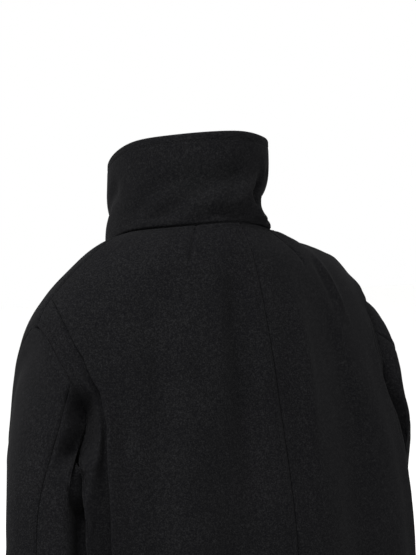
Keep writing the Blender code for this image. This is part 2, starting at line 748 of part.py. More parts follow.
def make_slider(material):
    """A block in the zip's channel with a bail bridged over its face."""
    deep = SLIDER_RISE + TAPE_COLLAR_DEPTH - .0004
    columns = (-SLIDER_WIDTH / 2, -BAIL_WIDTH / 2, BAIL_WIDTH / 2, SLIDER_WIDTH / 2)
    foot = BAIL_SPAN / 2 + BAIL_WALL
    rows = (-SLIDER_LENGTH / 2, -foot, -BAIL_SPAN / 2, BAIL_SPAN / 2, foot, SLIDER_LENGTH / 2)
    points = [(x, y, 0) for y in rows for x in columns]
    faces = []
    for r in range(5):
        for c in range(3):
            if c == 1 and r in (1, 3):
                continue
            a = r * 4 + c
            faces.append((a, a + 1, a + 5, a + 4))
    base = len(points)
    points += [(columns[0], rows[0], -deep), (columns[3], rows[0], -deep),
               (columns[3], rows[5], -deep), (columns[0], rows[5], -deep)]
    faces += [(base, base + 3, base + 2, base + 1),
              (3, 2, 1, 0, base, base + 1),
              (20, 21, 22, 23, base + 2, base + 3),
              (0, 4, 8, 12, 16, 20, base + 3, base),
              (23, 19, 15, 11, 7, 3, base + 1, base + 2)]
    arch = len(points)
    high = BAIL_RISE + BAIL_WALL
    slope = BAIL_SPAN / 6
    outside = ((-foot, BAIL_RISE * .7), (-foot + slope, high), (foot - slope, high), (foot, BAIL_RISE * .7))
    inside = ((-BAIL_SPAN / 2, BAIL_RISE * .7), (-BAIL_SPAN / 2 + slope, BAIL_RISE),
              (BAIL_SPAN / 2 - slope, BAIL_RISE), (BAIL_SPAN / 2, BAIL_RISE * .7))
    for (out_y, out_z), (in_y, in_z) in zip(outside, inside):
        points += [(columns[1], out_y, out_z), (columns[2], out_y, out_z),
                   (columns[2], in_y, in_z), (columns[1], in_y, in_z)]
    rings = [(5, 6, 10, 9)] + [tuple(arch + 4 * k + j for j in range(4)) for k in range(4)] + [(17, 18, 14, 13)]
    for lower, upper in zip(rings, rings[1:]):
        for j in range(4):
            faces.append((lower[j], lower[(j + 1) % 4], upper[(j + 1) % 4], upper[j]))
    add_object("zip_slider", placed(points, SLIDER_RISE), faces, material)


def make_pull(material):
    """A flat tab that hangs from the bail by its cross bar, with its eye round the bail's lower leg."""
    half = PULL_WIDTH / 2
    eye = half - PULL_RAIL
    top = PULL_BAR / 2
    eye_foot = -top - PULL_EYE
    shoulder = half * .55
    rim = [(-half, top), (-half, -PULL_LENGTH * .86), (-shoulder, -PULL_LENGTH), (shoulder, -PULL_LENGTH),
           (half, -PULL_LENGTH * .86), (half, top)]
    hole = [(-eye, -top), (-eye, eye_foot), (eye, eye_foot), (eye, -top)]
    flat_faces = [(0, 1, 7, 6), (1, 2, 3, 4, 8, 7), (4, 5, 9, 8), (5, 0, 6, 9)]
    count = len(rim) + len(hole)
    points = [(x, y, PULL_WALL / 2) for x, y in rim + hole] + [(x, y, -PULL_WALL / 2) for x, y in rim + hole]
    faces = list(flat_faces)
    faces += [tuple(count + k for k in reversed(face)) for face in flat_faces]
    for k in range(6):
        faces.append((k, count + k, count + (k + 1) % 6, (k + 1) % 6))
    for k in range(4):
        a, b = 6 + k, 6 + (k + 1) % 4
        faces.append((b, count + b, count + a, a))
    add_object("zip_pull", placed(points, SLIDER_RISE + PULL_LEVEL), faces, material)


def main():
    clear_scene()
    wool = cloth_material("black wool melton", WOOL_BLACK, .92, 0)
    tape = cloth_material("zip tape", TAPE_BLACK, .85, 0)
    metal = cloth_material("dark nickel", NICKEL_DARK, .32, 1)
    for side in ("left", "right"):
        make_back(side, wool)
        make_side_back(side, wool)
        make_front(side, wool)
        make_sleeve(side, wool)
        make_tape(side, tape)
    make_collar(wool)
    make_slider(metal)
    make_pull(metal)


main()
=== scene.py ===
import math

import bpy
import numpy as np
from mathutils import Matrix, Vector


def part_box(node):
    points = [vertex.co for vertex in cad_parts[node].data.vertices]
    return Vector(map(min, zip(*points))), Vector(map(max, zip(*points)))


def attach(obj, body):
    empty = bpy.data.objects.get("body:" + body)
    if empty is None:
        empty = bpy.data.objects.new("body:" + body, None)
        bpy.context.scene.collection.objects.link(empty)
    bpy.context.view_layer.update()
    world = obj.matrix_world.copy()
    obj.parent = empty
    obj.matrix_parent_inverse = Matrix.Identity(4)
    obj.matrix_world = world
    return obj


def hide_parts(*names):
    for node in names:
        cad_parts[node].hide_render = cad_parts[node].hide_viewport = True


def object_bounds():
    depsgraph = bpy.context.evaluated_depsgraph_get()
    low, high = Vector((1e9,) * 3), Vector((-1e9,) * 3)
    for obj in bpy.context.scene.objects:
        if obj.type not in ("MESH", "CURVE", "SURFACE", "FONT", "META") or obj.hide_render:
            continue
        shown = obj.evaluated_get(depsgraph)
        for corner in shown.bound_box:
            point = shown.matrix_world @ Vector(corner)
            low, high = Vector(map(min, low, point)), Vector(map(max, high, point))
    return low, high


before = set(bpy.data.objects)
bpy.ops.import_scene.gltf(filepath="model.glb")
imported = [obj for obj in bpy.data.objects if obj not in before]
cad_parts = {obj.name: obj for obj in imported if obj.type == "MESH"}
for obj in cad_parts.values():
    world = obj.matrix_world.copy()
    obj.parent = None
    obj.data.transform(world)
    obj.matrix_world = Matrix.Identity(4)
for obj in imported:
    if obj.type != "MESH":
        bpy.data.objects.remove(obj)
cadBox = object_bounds()

# The jacket's form, the same sizes as the solids (metres, facing -Y, origin in the middle of the neck seam).
# Angles go round the body: 0 left side, 90 centre back, 180 right side. Level 0 is the neck seam, 8 the hem.
jacketForm = {
    "sections": (  # back y z, corner x y z, side x y z, breast x y z, front y z
        (.098, .018, .067, .070, .011, .090, .000, .000, .066, -.072, -.023, -.098, -.033),
        (.122, -.018, .112, .083, -.018, .137, .003, -.013, .108, -.080, -.050, -.112, -.072),
        (.141, -.070, .156, .087, -.059, .183, .005, -.035, .148, -.088, -.090, -.122, -.115),
        (.157, -.128, .190, .092, -.115, .218, .006, -.080, .167, -.092, -.138, -.129, -.158),
        (.169, -.195, .212, .103, -.182, .213, .005, -.160, .180, -.095, -.195, -.134, -.205),
        (.181, -.260, .228, .116, -.255, .180, .002, -.250, .174, -.097, -.260, -.136, -.260),
        (.194, -.340, .236, .127, -.340, .154, .000, -.340, .168, -.099, -.340, -.137, -.340),
        (.202, -.460, .238, .132, -.460, .168, .000, -.460, .174, -.101, -.460, -.138, -.460),
        (.205, -.620, .236, .134, -.620, .194, .000, -.620, .186, -.104, -.620, -.140, -.620),
    ),
    "hem": 8,
    "shoulderTilt": -.075, "tiltLevels": (.3, 2.2), "levelLevels": (3.5, 6.5),  # the tilt grows, then ends
    "collarRoll": .060, "rollLevels": (0, 1.6),
    "bodyLean": -.006, "leanLevels": (2.5, 5.5),
    "folds": (  # angle at the top and foot, level where it starts and is full, width, height
        (82, 77, 1.2, 5.0, 6.0, -.0085),
        (73, 69, 1.8, 5.0, 5.0, .0050),
        (64, 60, 2.2, 4.6, 4.0, -.0050),
        (99, 97, 1.8, 4.0, 5.0, .0050),
        (112, 106, 1.4, 3.6, 5.0, -.0065),
        (122, 118, 2.6, 5.0, 5.0, .0040),
        (-58, -64, 2.4, 5.6, 6.0, -.0060),
        (-44, -50, 3.4, 6.0, 5.0, .0050),
        (-122, -117, 2.4, 5.6, 6.0, -.0060),
        (-136, -131, 3.4, 6.0, 5.0, .0050),
    ),
    "wall": .0026,
    "seamGap": .0003,
}
seamLines = {  # level and angle on the left half; the right half mirrors them
    "shoulder": ((0, 3), (3.0, 0)),
    "pleat": ((2.40, 1.4), (2.53, 12), (2.72, 25), (3.0, 37), (3.5, 46), (4.0, 49), (5.0, 50.5), (6.0, 51),
              (8.0, 51)),
    "armholeBack": ((3.0, 0), (3.08, 11), (3.2, 21), (3.45, 33), (3.8, 40), (4.2, 41), (4.6, 35), (4.85, 27),
                    (5.08, 19), (5.27, 11), (5.42, 4), (5.52, -2)),
    "armholeFront": ((3.0, 0), (3.08, -13), (3.2, -22), (3.45, -32), (3.8, -38), (4.2, -40), (4.6, -39),
                     (4.85, -36), (5.08, -30), (5.27, -22), (5.42, -12), (5.52, -2)),
    "side": -2,
}
sleeveForm = {
    "left": ((.228, .053, -.318, .053), (.239, .066, -.390, .054), (.246, .054, -.470, .053),  # x y z radius
             (.251, .022, -.545, .050), (.253, -.010, -.605, .047)),
    "right": ((-.239, .030, -.318, .058), (-.244, .024, -.390, .057), (-.248, .002, -.470, .054),
              (-.250, -.032, -.545, .050), (-.250, -.064, -.600, .047)),
    "roots": {  # how far out at shoulder, sides and underarm, how far back
        "left": (.12, .52, .16, 0),
        "right": (.92, .93, .22, .58),
    },
    "capRings": 6,
    "armRings": 9,
    "clearance": (1.05, .012),  # of the arm's radius, and beside it
    "armholeGap": .0010,
    "rest": .009, "restReach": .03, "restRings": 3, "restRounds": 5,  # how it is kept off the body
    "press": (-.16, -.31),
    "backSeamLevel": 3.45,
    "frontSeamLevel": 4.6,
    "turnPower": 1.25,
    "folds": (  # place along, turn, half turn, half length along, height
        (.44, 250, 60, .030, -.0045),
        (.52, 300, 70, .035, -.0055),
        (.60, 230, 70, .030, -.0045),
        (.48, 260, 60, .028, .0035),
        (.80, 90, 80, .040, -.0030),
    ),
}


def curveBetween(s, start, startSlope, end, endSlope):
    return ((2 * s**3 - 3 * s**2 + 1) * start + (s**3 - 2 * s**2 + s) * startSlope
            + (3 * s**2 - 2 * s**3) * end + (s**3 - s**2) * endSlope)


def smoothThrough(knots, values, at):  # smooth curve through values at knots
    knots, values, at = (np.asarray(a, float) for a in (knots, values, at))
    slopes = np.gradient(values, knots, axis=0)
    i = np.clip(np.searchsorted(knots, at) - 1, 0, len(knots) - 2)
    deep = (...,) + (None,) * (values.ndim - 1)
    span = (knots[i + 1] - knots[i])[deep]
    s = (at - knots[i])[deep] / span
    return curveBetween(s, values[i], span * slopes[i], values[i + 1], span * slopes[i + 1])


def ease(value, start, end):
    s = np.clip((np.asarray(value, float) - start) / (end - start), 0, 1)
    return s * s * (3 - 2 * s)


def unit(vectors):
    return vectors / np.linalg.norm(vectors, axis=-1, keepdims=True)


def runLength(points):  # distance along a line at each of its points
    return np.concatenate(([0], np.cumsum(np.linalg.norm(np.diff(points, axis=0), axis=1))))


def angleBetween(a, b):
    return (a - b + 180) % 360 - 180


def marked(line, level):
    return np.interp(level, [m[0] for m in line], [m[1] for m in line])


def eightPoints(row):  # a section's left half and its mirror image, one point every 45 degrees
    back, corner, side, breast, front = (0, *row[:2]), row[2:5], row[5:8], row[8:11], (0, *row[11:])
    across = [(-point[0], *point[1:]) for point in (corner, side, breast)]
    return (side, corner, back, *across, front, breast)


def ringThrough(points, angle):  # closed smooth curve through each row of eight points
    place = (angle % 360) / 45
    i = place.astype(int)
    s = (place - i)[..., None]
    p0, p1, p2, p3 = (np.take_along_axis(points, ((i + k) % 8)[..., None, None], -2)[..., 0, :]
                      for k in (-1, 0, 1, 2))
    return .5 * (2 * p1 + (p2 - p0) * s + (2 * p0 - 5 * p1 + 4 * p2 - p3) * s**2
                 + (3 * p1 - p0 - 3 * p2 + p3) * s**3)


sectionPoints = np.array([eightPoints(row) for row in jacketForm["sections"]])


def poseLift(x, level):
    shoulders = ease(level, *jacketForm["tiltLevels"]) * (1 - ease(level, *jacketForm["levelLevels"]))
    neck = 1 - ease(level, *jacketForm["rollLevels"])
    return x * (jacketForm["shoulderTilt"] * shoulders + jacketForm["collarRoll"] * neck)


def bodyForm(angle, level):
    points = ringThrough(smoothThrough(np.arange(len(sectionPoints)), sectionPoints, level), angle)
    points[..., 2] += poseLift(points[..., 0], level)
    points[..., 0] += jacketForm["bodyLean"] * ease(level, *jacketForm["leanLevels"])
    return points


def normalOf(surface, first, second, stepFirst, stepSecond):
    along = surface(first + stepFirst, second) - surface(first - stepFirst, second)
    down = surface(first, second + stepSecond) - surface(first, second - stepSecond)
    return unit(np.cross(down, along))


def foldHeight(angle, level):
    height = 0
    for top, foot, start, full, width, tall in jacketForm["folds"]:
        middle = np.interp(level, (start, jacketForm["hem"]), (top, foot))
        height = height + tall * ease(level, start, full) * np.exp(-(angleBetween(angle, middle) / width)**2)
    return height


def pressedClear(points):  # the cloth moves aside where a sleeve hangs against it
    for side in ("left", "right"):
        x, y, z, radius = np.array(sleeveForm[side][::-1]).T
        height = points[..., 2]
        middle = np.stack((np.interp(height, z, x), np.interp(height, z, y)), -1)
        away = points[..., :2] - middle
        distance = np.linalg.norm(away, axis=-1)
        grown, beside = sleeveForm["clearance"]
        clear = (np.interp(height, z, radius) * grown + beside) * ease(height, *sleeveForm["press"])
        wanted = (distance**8 + clear**8)**(1 / 8)  # a smooth larger of the two
        points[..., :2] += away * ((wanted - distance) / distance)[..., None]
    return points


def bodySurface(angle, level):
    level = np.clip(level, -.02, jacketForm["hem"] + .02)
    normals = normalOf(bodyForm, angle, level, .5, .02)
    return pressedClear(bodyForm(angle, level) + normals * foldHeight(angle, level)[..., None])


def bodyNormal(angle, level):
    return normalOf(bodySurface, angle, level, .8, .03)


def mirrored(angle, side):
    return angle if side == "left" else 180 - angle


def sideEdge(armhole, level):  # a panel's outer edge: shoulder seam, armhole, side seam
    onShoulder = level <= seamLines[armhole][0][0]
    edge = np.where(onShoulder, marked(seamLines["shoulder"], level), marked(seamLines[armhole], level))
    return np.where(level >= seamLines[armhole][-1][0], seamLines["side"], edge)


def backEdge(level):  # shoulder seam, then the pleat's free edge
    return np.where(level < seamLines["pleat"][0][0], marked(seamLines["shoulder"], level),
                    marked(seamLines["pleat"], level))


def zipAngle(level):  # the zip hangs straight, found by halving
    low = np.full_like(level, -90.0)
    high = np.full_like(level, -30.0)
    for _ in range(30):
        middle = (low + high) / 2
        before = bodyForm(middle, level)[..., 0] < zipFront["offset"]
        low, high = np.where(before, middle, low), np.where(before, high, middle)
    return (low + high) / 2


def besideZip(level, side, distance):
    middle = zipAngle(level)
    degree = np.linalg.norm(bodyForm(middle + .5, level) - bodyForm(middle - .5, level), axis=-1)
    return middle + distance / degree * (1 if side == "left" else -1)


# Lines on the cloth: seams, rows of stitching and creases. Each is a row of points with their normals.
def bodyLine(angle, level):
    return bodySurface(angle, level), bodyNormal(angle, level)


def evenly(values, count):  # a smooth run of values
    return smoothThrough(np.linspace(0, 1, len(values)), values, np.linspace(0, 1, count))


def lineOnBody(angles, levels, side="left", count=60):
    return bodyLine(mirrored(evenly(angles, count), side), evenly(levels, count))


def besideLine(line, distance):  # the same line, moved along the surface
    points, normals = line
    run = unit(np.gradient(points, axis=0))
    return points + np.cross(normals, run) * distance, normals


def lineDistance(points, line):
    best = np.full(len(points), np.inf)
    along = np.zeros(len(points))
    for k in range(len(line) - 1):
        run = line[k + 1] - line[k]
        s = np.clip((points - line[k]) @ run / run.dot(run), 0, 1)
        apart = np.linalg.norm(points - line[k] - s[:, None] * run, axis=1)
        closer = apart < best
        best[closer] = apart[closer]
        along[closer] = (k + s[closer]) / (len(line) - 1)
    return best, along


def reliefOf(grid, marks):  # height of the grooves and creases at each point of a grid
    flat = grid.reshape(-1, 3)
    height = np.zeros(len(flat))
    for line, width, tall, fadeStart, fadeEnd in marks:
        reach = 3 * width
        near = np.all((flat > line.min(0) - reach) & (flat < line.max(0) + reach), axis=1)
        if not near.any():
            continue
        apart, along = lineDistance(flat[near], line)
        fade = ease(along, -1e-6, max(fadeStart, 1e-9)) * ease(1 - along, -1e-6, max(fadeEnd, 1e-9))
        height[near] += tall * fade * np.exp(-(apart / width)**2)
    return height.reshape(grid.shape[:-1])


armholeWells = {  # where sleeve and side back sink into the body together
    "left": {"angles": (33, 37, 40, 41, 38, 34, 29), "levels": (3.45, 3.62, 3.8, 4.2, 4.45, 4.65, 4.82),
             "width": .0145, "depth": .0340, "way": (-.62, -.78, 0), "fades": (.42, .30)},
    "right": {"angles": (40, 41, 35, 27, 19), "levels": (3.8, 4.2, 4.6, 4.85, 5.08),
              "width": .0140, "depth": .0100, "way": (.62, -.78, 0), "fades": (.30, .20)},
}


def settled(grid):  # one move for every piece, so the armhole stays closed
    for side, well in armholeWells.items():
        line = lineOnBody(well["angles"], well["levels"], side)[0]
        depth = reliefOf(grid, [(line, well["width"], well["depth"], *well["fades"])])
        grid = grid + depth[..., None] * np.array(well["way"])
    return grid


def risen(line, marks, lift=.0002):  # a line laid on the finished cloth
    points, normals = line
    height = reliefOf(points[None], marks)[0] + lift
    return settled(points + normals * height[:, None]), normals


# Cloth pieces: closed thin shells with a rounded edge
def spaced(places, points, steps):  # places along a line, as far apart as steps asks in metres
    arc = np.linalg.norm(np.diff(points, axis=0), axis=1)
    count = np.concatenate(([0], np.cumsum(arc / ((steps[1:] + steps[:-1]) / 2))))
    return np.interp(np.linspace(0, count[-1], int(count[-1]) + 2), count, places)


def stepsNear(places, points, fineAt, fine, coarse, band):  # close steps within a band of each named place
    arc = runLength(points)
    away = np.min([np.abs(arc - np.interp(place, places, arc)) for place in fineAt], axis=0)
    return fine + (coarse - fine) * ease(away, band / 2, band * 2)


def spacedNear(places, points, fineAt, fine, coarse, band):
    return spaced(places, points, stepsNear(places, points, fineAt, fine, coarse, band))


def drawnIn(grid, normals, edges, reach=6):  # edges step back along the surface, easing over a few rows
    moved = grid.copy()
    for axis, atEnd, distance in edges:
        view = np.moveaxis(moved, axis, 0)
        facing = np.moveaxis(normals, axis, 0)
        if atEnd:
            view, facing = view[::-1], facing[::-1]
        inward = view[1] - view[0]
        inward = unit(inward - facing[0] * np.sum(inward * facing[0], axis=-1, keepdims=True))
        for k in range(reach):
            view[k] += inward * distance * (1 - k / reach)
    return moved


def clothPiece(name, outer, normals, wall, material):
    rows, columns = outer.shape[:2]
    index = np.arange(rows * columns).reshape(rows, columns)
    out = np.zeros_like(outer)
    out[:, 0] += unit(outer[:, 0] - outer[:, 1])
    out[:, -1] += unit(outer[:, -1] - outer[:, -2])
    out[0] += unit(outer[0] - outer[1])
    out[-1] += unit(outer[-1] - outer[-2])
    rim = np.concatenate((index[0], index[1:, -1], index[-1, -2::-1], index[-2:0:-1, 0]))
    flat, facing = outer.reshape(-1, 3), normals.reshape(-1, 3)
    rimOut = out.reshape(-1, 3)[rim]
    rimOut = rimOut - facing[rim] * np.sum(rimOut * facing[rim], axis=1, keepdims=True)
    loops = [flat[rim] + wall / 2 * (rimOut * math.sin(t) - facing[rim] * (1 - math.cos(t)))
             for t in np.radians((45, 90, 135))]
    vertices = np.concatenate([flat, flat - facing * wall] + loops)
    quads = np.stack((index[:-1, :-1], index[1:, :-1], index[1:, 1:], index[:-1, 1:]), -1).reshape(-1, 4)
    faces = [quads, quads[:, ::-1] + rows * columns]
    loopStart = 2 * rows * columns
    rings = [rim, *(loopStart + len(rim) * k + np.arange(len(rim)) for k in range(3)), rim + rows * columns]
    for upper, lower in zip(rings, rings[1:]):
        faces.append(np.stack((upper, np.roll(upper, -1), np.roll(lower, -1), lower), -1))
    return meshPiece(name, vertices, np.concatenate(faces).tolist(), material)


def linked(name, data):  # a new object in the scene
    thing = bpy.data.objects.new(name, data)
    bpy.context.scene.collection.objects.link(thing)
    return thing


def meshPiece(name, vertices, faces, material):
    mesh = bpy.data.meshes.new(name)
    mesh.from_pydata(np.asarray(vertices).tolist(), [], [list(face) for face in faces])
    mesh.materials.append(material)
    mesh.shade_smooth()
    piece = linked(name, mesh)
    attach(piece, "jacket")
    return piece


# Materials
def toLinear(hexColour):
    channels = [int(hexColour[k:k + 2], 16) / 255 for k in (1, 3, 5)]
    return tuple(c / 12.92 if c <= .04045 else ((c + .055) / 1.055)**2.4 for c in channels) + (1,)


def plug(tree, node, links):  # links: socket to (node, output) or to a plain value
    for socket, source in links.items():
        if isinstance(source, tuple) and isinstance(source[0], bpy.types.Node):
            tree.links.new(source[0].outputs[source[1]], node.inputs[socket])
        else:
            node.inputs[socket].default_value = source


def addNode(tree, kind, settings=None, links=None):
    node = tree.nodes.new(kind)
    for key, value in (settings or {}).items():
        setattr(node, key, value)
    plug(tree, node, links or {})
    return node


def perMetre(millimetres):  # texture scale whose pattern repeats at this size
    return 1000 / millimetres


def startMaterial(name):
    material = bpy.data.materials.new(name)
    material.use_nodes = True
    tree = material.node_tree
    shader = tree.nodes["Principled BSDF"]
    place = addNode(tree, "ShaderNodeTexCoord")
    return material, tree, shader, (place, "Object")


def setRamp(node, stops):
    ramp = node.color_ramp
    for element, (position, colour) in zip(ramp.elements, stops):
        element.position = position
        element.color = toLinear(colour)
    for position, colour in stops[2:]:
        ramp.elements.new(position).color = toLinear(colour)


# Wool melton: woven, then milled and brushed until short fibres cover the weave. The eye sees a dull, dense
# black with a fine speckle of fibre ends, faint cloudy patches where the nap lies differently, and a soft
# bloom where the cloth turns away. Fibre ends are under 1 mm; they are drawn at 1.6 mm so that they show.
woolLook = {
    "deep": "#08080a", "middle": "#0e0e0f", "fibre": "#19191a",
    "deepAt": .50, "middleAt": .71, "fibreAt": .92,  # places on the ramp
    "fibreMm": 1.6, "fleckMm": 3.4, "napMm": 60, "fleckWeight": .30, "napWeight": .12,
    "roughness": .94, "specular": .01, "sheen": .012, "sheenRoughness": .5, "sheenTint": "#e8e8ea",
    "bumpMm": .45, "bumpStrength": .55,
}


def makeWool(name, look):
    material, tree, shader, place = startMaterial(name)
    fibre = addNode(tree, "ShaderNodeTexNoise", None, {
        "Vector": place, "Scale": perMetre(look["fibreMm"]), "Detail": 3.0, "Roughness": .62})
    fleck = addNode(tree, "ShaderNodeTexNoise", None, {
        "Vector": place, "Scale": perMetre(look["fleckMm"]), "Detail": 2.0, "Roughness": .5})
    nap = addNode(tree, "ShaderNodeTexNoise", None, {
        "Vector": place, "Scale": perMetre(look["napMm"]), "Detail": 2.0, "Roughness": .5})
    speckle = addNode(tree, "ShaderNodeMath", {"operation": "MULTIPLY_ADD"}, {
        0: (fleck, "Fac"), 1: look["fleckWeight"], 2: (fibre, "Fac")})
    cloudy = addNode(tree, "ShaderNodeMath", {"operation": "MULTIPLY_ADD"}, {
        0: (nap, "Fac"), 1: look["napWeight"], 2: (speckle, "Value")})
    colour = addNode(tree, "ShaderNodeValToRGB", None, {"Fac": (cloudy, "Value")})
    setRamp(colour, ((look["deepAt"], look["deep"]), (look["fibreAt"], look["fibre"]),
                     (look["middleAt"], look["middle"])))
    bump = addNode(tree, "ShaderNodeBump", None, {
        "Height": (speckle, "Value"), "Strength": look["bumpStrength"], "Distance": look["bumpMm"] / 1000})
    plug(tree, shader, {
        "Base Color": (colour, "Color"), "Normal": (bump, "Normal"),
        "Roughness": look["roughness"], "Specular IOR Level": look["specular"],
        "Sheen Weight": look["sheen"], "Sheen Roughness": look["sheenRoughness"],
        "Sheen Tint": toLinear(look["sheenTint"])})
    return material


# Polyester sewing thread: twisted and lightly waxed, so it is a little smoother than the cloth
threadLook = {
    "deep": "#0a0a0b", "light": "#171718", "twistMm": .5,
    "roughness": .7, "specular": .06, "bumpMm": .1, "bumpStrength": .3,
}


def makeThread(name, look):
    material, tree, shader, place = startMaterial(name)
    twist = addNode(tree, "ShaderNodeTexNoise", None, {
        "Vector": place, "Scale": perMetre(look["twistMm"]), "Detail": 2.0})
    colour = addNode(tree, "ShaderNodeValToRGB", None, {"Fac": (twist, "Fac")})
    setRamp(colour, ((.3, look["deep"]), (.7, look["light"])))
    bump = addNode(tree, "ShaderNodeBump", None, {
        "Height": (twist, "Fac"), "Strength": look["bumpStrength"], "Distance": look["bumpMm"] / 1000})
    plug(tree, shader, {
        "Base Color": (colour, "Color"), "Normal": (bump, "Normal"),
        "Roughness": look["roughness"], "Specular IOR Level": look["specular"]})
    return material


# Zip tape: tightly woven polyester, a fine herringbone that reads as thin ribs across the tape
tapeLook = {
    "deep": "#111112", "light": "#262627", "ribMm": 1.2,
    "roughness": .78, "bumpMm": .3, "bumpStrength": .4,
}


def makeTape(name, look):
    material, tree, shader, place = startMaterial(name)
    ribs = addNode(tree, "ShaderNodeTexWave", {"wave_type": "BANDS", "bands_direction": "Z"}, {
        "Vector": place, "Scale": perMetre(look["ribMm"]) / 20, "Distortion": .6, "Detail": 1.0})
    colour = addNode(tree, "ShaderNodeValToRGB", None, {"Fac": (ribs, "Fac")})
    setRamp(colour, ((.2, look["deep"]), (.8, look["light"])))
    bump = addNode(tree, "ShaderNodeBump", None, {
        "Height": (ribs, "Fac"), "Strength": look["bumpStrength"], "Distance": look["bumpMm"] / 1000})
    plug(tree, shader, {
        "Base Color": (colour, "Color"), "Normal": (bump, "Normal"), "Roughness": look["roughness"]})
    return material


# Dark nickel: die-cast zinc, plated and tumbled, so it is bright with faint cloudy wear
nickelLook = {"deep": "#6d6c6a", "light": "#a3a19d", "wearMm": 3.0, "smoothest": .24, "roughest": .42}


def makeNickel(name, look):
    material, tree, shader, place = startMaterial(name)
    wear = addNode(tree, "ShaderNodeTexNoise", None, {
        "Vector": place, "Scale": perMetre(look["wearMm"]), "Detail": 4.0})
    colour = addNode(tree, "ShaderNodeValToRGB", None, {"Fac": (wear, "Fac")})
    setRamp(colour, ((.3, look["deep"]), (.7, look["light"])))
    rough = addNode(tree, "ShaderNodeMapRange", None, {
        "Value": (wear, "Fac"), "From Min": .3, "From Max": .7,
        "To Min": look["smoothest"], "To Max": look["roughest"]})
    plug(tree, shader, {"Base Color": (colour, "Color"), "Roughness": (rough, "Result"), "Metallic": 1})
    return material


wool = makeWool("black wool melton, milled and brushed", woolLook)
thread = makeThread("black polyester sewing thread, twisted", threadLook)
tapeCloth = makeTape("black polyester zip tape, woven", tapeLook)
nickel = makeNickel("dark nickel plate on die-cast zinc", nickelLook)
print("materials made")


# Body panels
zipFront = {"offset": .045, "gap": .0100}
panelMesh = {
    "fine": .0011, "coarse": .0040, "acrossShare": .8, "band": .010, "widestLevel": 4.5, "lengthAngle": 70.0,
    "shoulderStep": .0016, "shoulderLevels": (2.0, 2.3, 3.5, 4.0), "neckTuck": .0018,
    "backFine": (0, .28, .33, .37, 1),  # centre seam, neck dart and pleat
}
pleat = {
    "foldShare": .90, "covered": .12,  # where the side back starts, and its share under the pleat
    "stand": {"left": .0080, "right": .0022}, "standLevels": (2.6, 3.8), "standShare": .84,
    "sink": {"left": .0080, "right": .0010}, "sinkLevels": (3.2, 4.6), "sinkShare": .26,
    "closeLevels": (6.0, 7.7),
}


def panelLevels(start):
    places = np.linspace(start, jacketForm["hem"], 900)
    points = bodyForm(np.full_like(places, panelMesh["lengthAngle"]), places)
    steps = stepsNear(places, points, (start, jacketForm["hem"]), panelMesh["fine"], panelMesh["coarse"],
                      panelMesh["band"])
    first, full, fading, gone = panelMesh["shoulderLevels"]
    shoulder = ease(places, first, full) * (1 - ease(places, fading, gone))
    return spaced(places, points, steps + (panelMesh["shoulderStep"] - steps) * shoulder)


def panelShares(angleAt, fineAt):
    shares = np.linspace(0, 1, 500)
    level = np.full_like(shares, panelMesh["widestLevel"])
    points = bodyForm(angleAt(shares, level), level)
    coarse = panelMesh["coarse"] * panelMesh["acrossShare"]
    return spacedNear(shares, points, fineAt, panelMesh["fine"], coarse, panelMesh["band"])


def bodyPanel(name, angleAt, liftAt, start, fineAt, edges, marks):
    share, level = np.meshgrid(panelShares(angleAt, fineAt), panelLevels(start))
    outer, normals = bodyLine(angleAt(share, level), level)
    outer = settled(outer + normals * (liftAt(share, level) + reliefOf(outer, marks))[..., None])
    back = jacketForm["wall"] / 2 + jacketForm["seamGap"] / 2
    pulls = [(*edge, back - panelMesh["neckTuck"] * (edge == neckEdge)) for edge in edges]
    return clothPiece(name, drawnIn(outer, normals, pulls), normals, jacketForm["wall"], wool)


def pleatOpen(level, levels):  # 1 where the pleat stands open
    return ease(level, *levels) * (1 - ease(level, *pleat["closeLevels"]))


neckEdge = (0, False)
allEdges = (neckEdge, (0, True), (1, False), (1, True))


def makeBack(side, marks):
    def angleAt(share, level):
        return mirrored(90 + (backEdge(level) - 90) * share, side)

    def standAt(share, level):
        stand = pleat["stand"][side] * pleatOpen(level, pleat["standLevels"])
        return stand * ease(share, pleat["standShare"], 1)

    return bodyPanel("back_panel_" + side, angleAt, standAt, 0, panelMesh["backFine"], allEdges, marks)


def makeSideBack(side, marks):
    start = seamLines["pleat"][0][0]
    covered = pleat["covered"]

    def angleAt(share, level):
        fold = 90 + (backEdge(level) - 90) * pleat["foldShare"]
        edge, outer = backEdge(level), sideEdge("armholeBack", level)
        angle = np.where(share < covered, fold + (edge - fold) * share / covered,
                         edge + (outer - edge) * (share - covered) / (1 - covered))
        return mirrored(angle, side)

    def sunkAt(share, level):
        across = (share - covered) / (1 - covered)
        sink = pleat["sink"][side] * pleatOpen(level, pleat["sinkLevels"])
        under = jacketForm["wall"] + jacketForm["seamGap"] + sink
        return -under * (1 - ease(across, 0, pleat["sinkShare"]))

    return bodyPanel("side_back_panel_" + side, angleAt, sunkAt, start, (covered, 1), allEdges[1:], marks)


def makeFront(side, marks):
    def angleAt(share, level):
        edge = besideZip(level, side, zipFront["gap"] / 2)
        outer = mirrored(sideEdge("armholeFront", level), side) - (0 if side == "left" else 360)
        return edge + (outer - edge) * share

    def flat(share, level):
        return 0 * share

    return bodyPanel("front_panel_" + side, angleAt, flat, 0, (0, 1), allEdges, marks)


# Sleeves: from the armhole to a ring round the upper arm, then along the arm to the cuff
def armholeLoop(side):
    places = np.array(seamLines["armholeBack"] + seamLines["armholeFront"][-2:0:-1])
    return bodyLine(mirrored(places[:, 1], side), places[:, 0])


def loopTurns(points):  # 0 outside, 90 back, 180 underarm, 270 front
    under = len(seamLines["armholeBack"]) - 1
    steps = np.linalg.norm(np.diff(np.concatenate((points, points[:1])), axis=0), axis=1)
    down = np.concatenate(([0], np.cumsum(steps[:under])))
    up = np.concatenate(([0], np.cumsum(steps[under:])))
    power = sleeveForm["turnPower"]
    return np.concatenate((180 * (down / down[-1])**power, 360 - 180 * (1 - up[1:-1] / up[-1])**power))


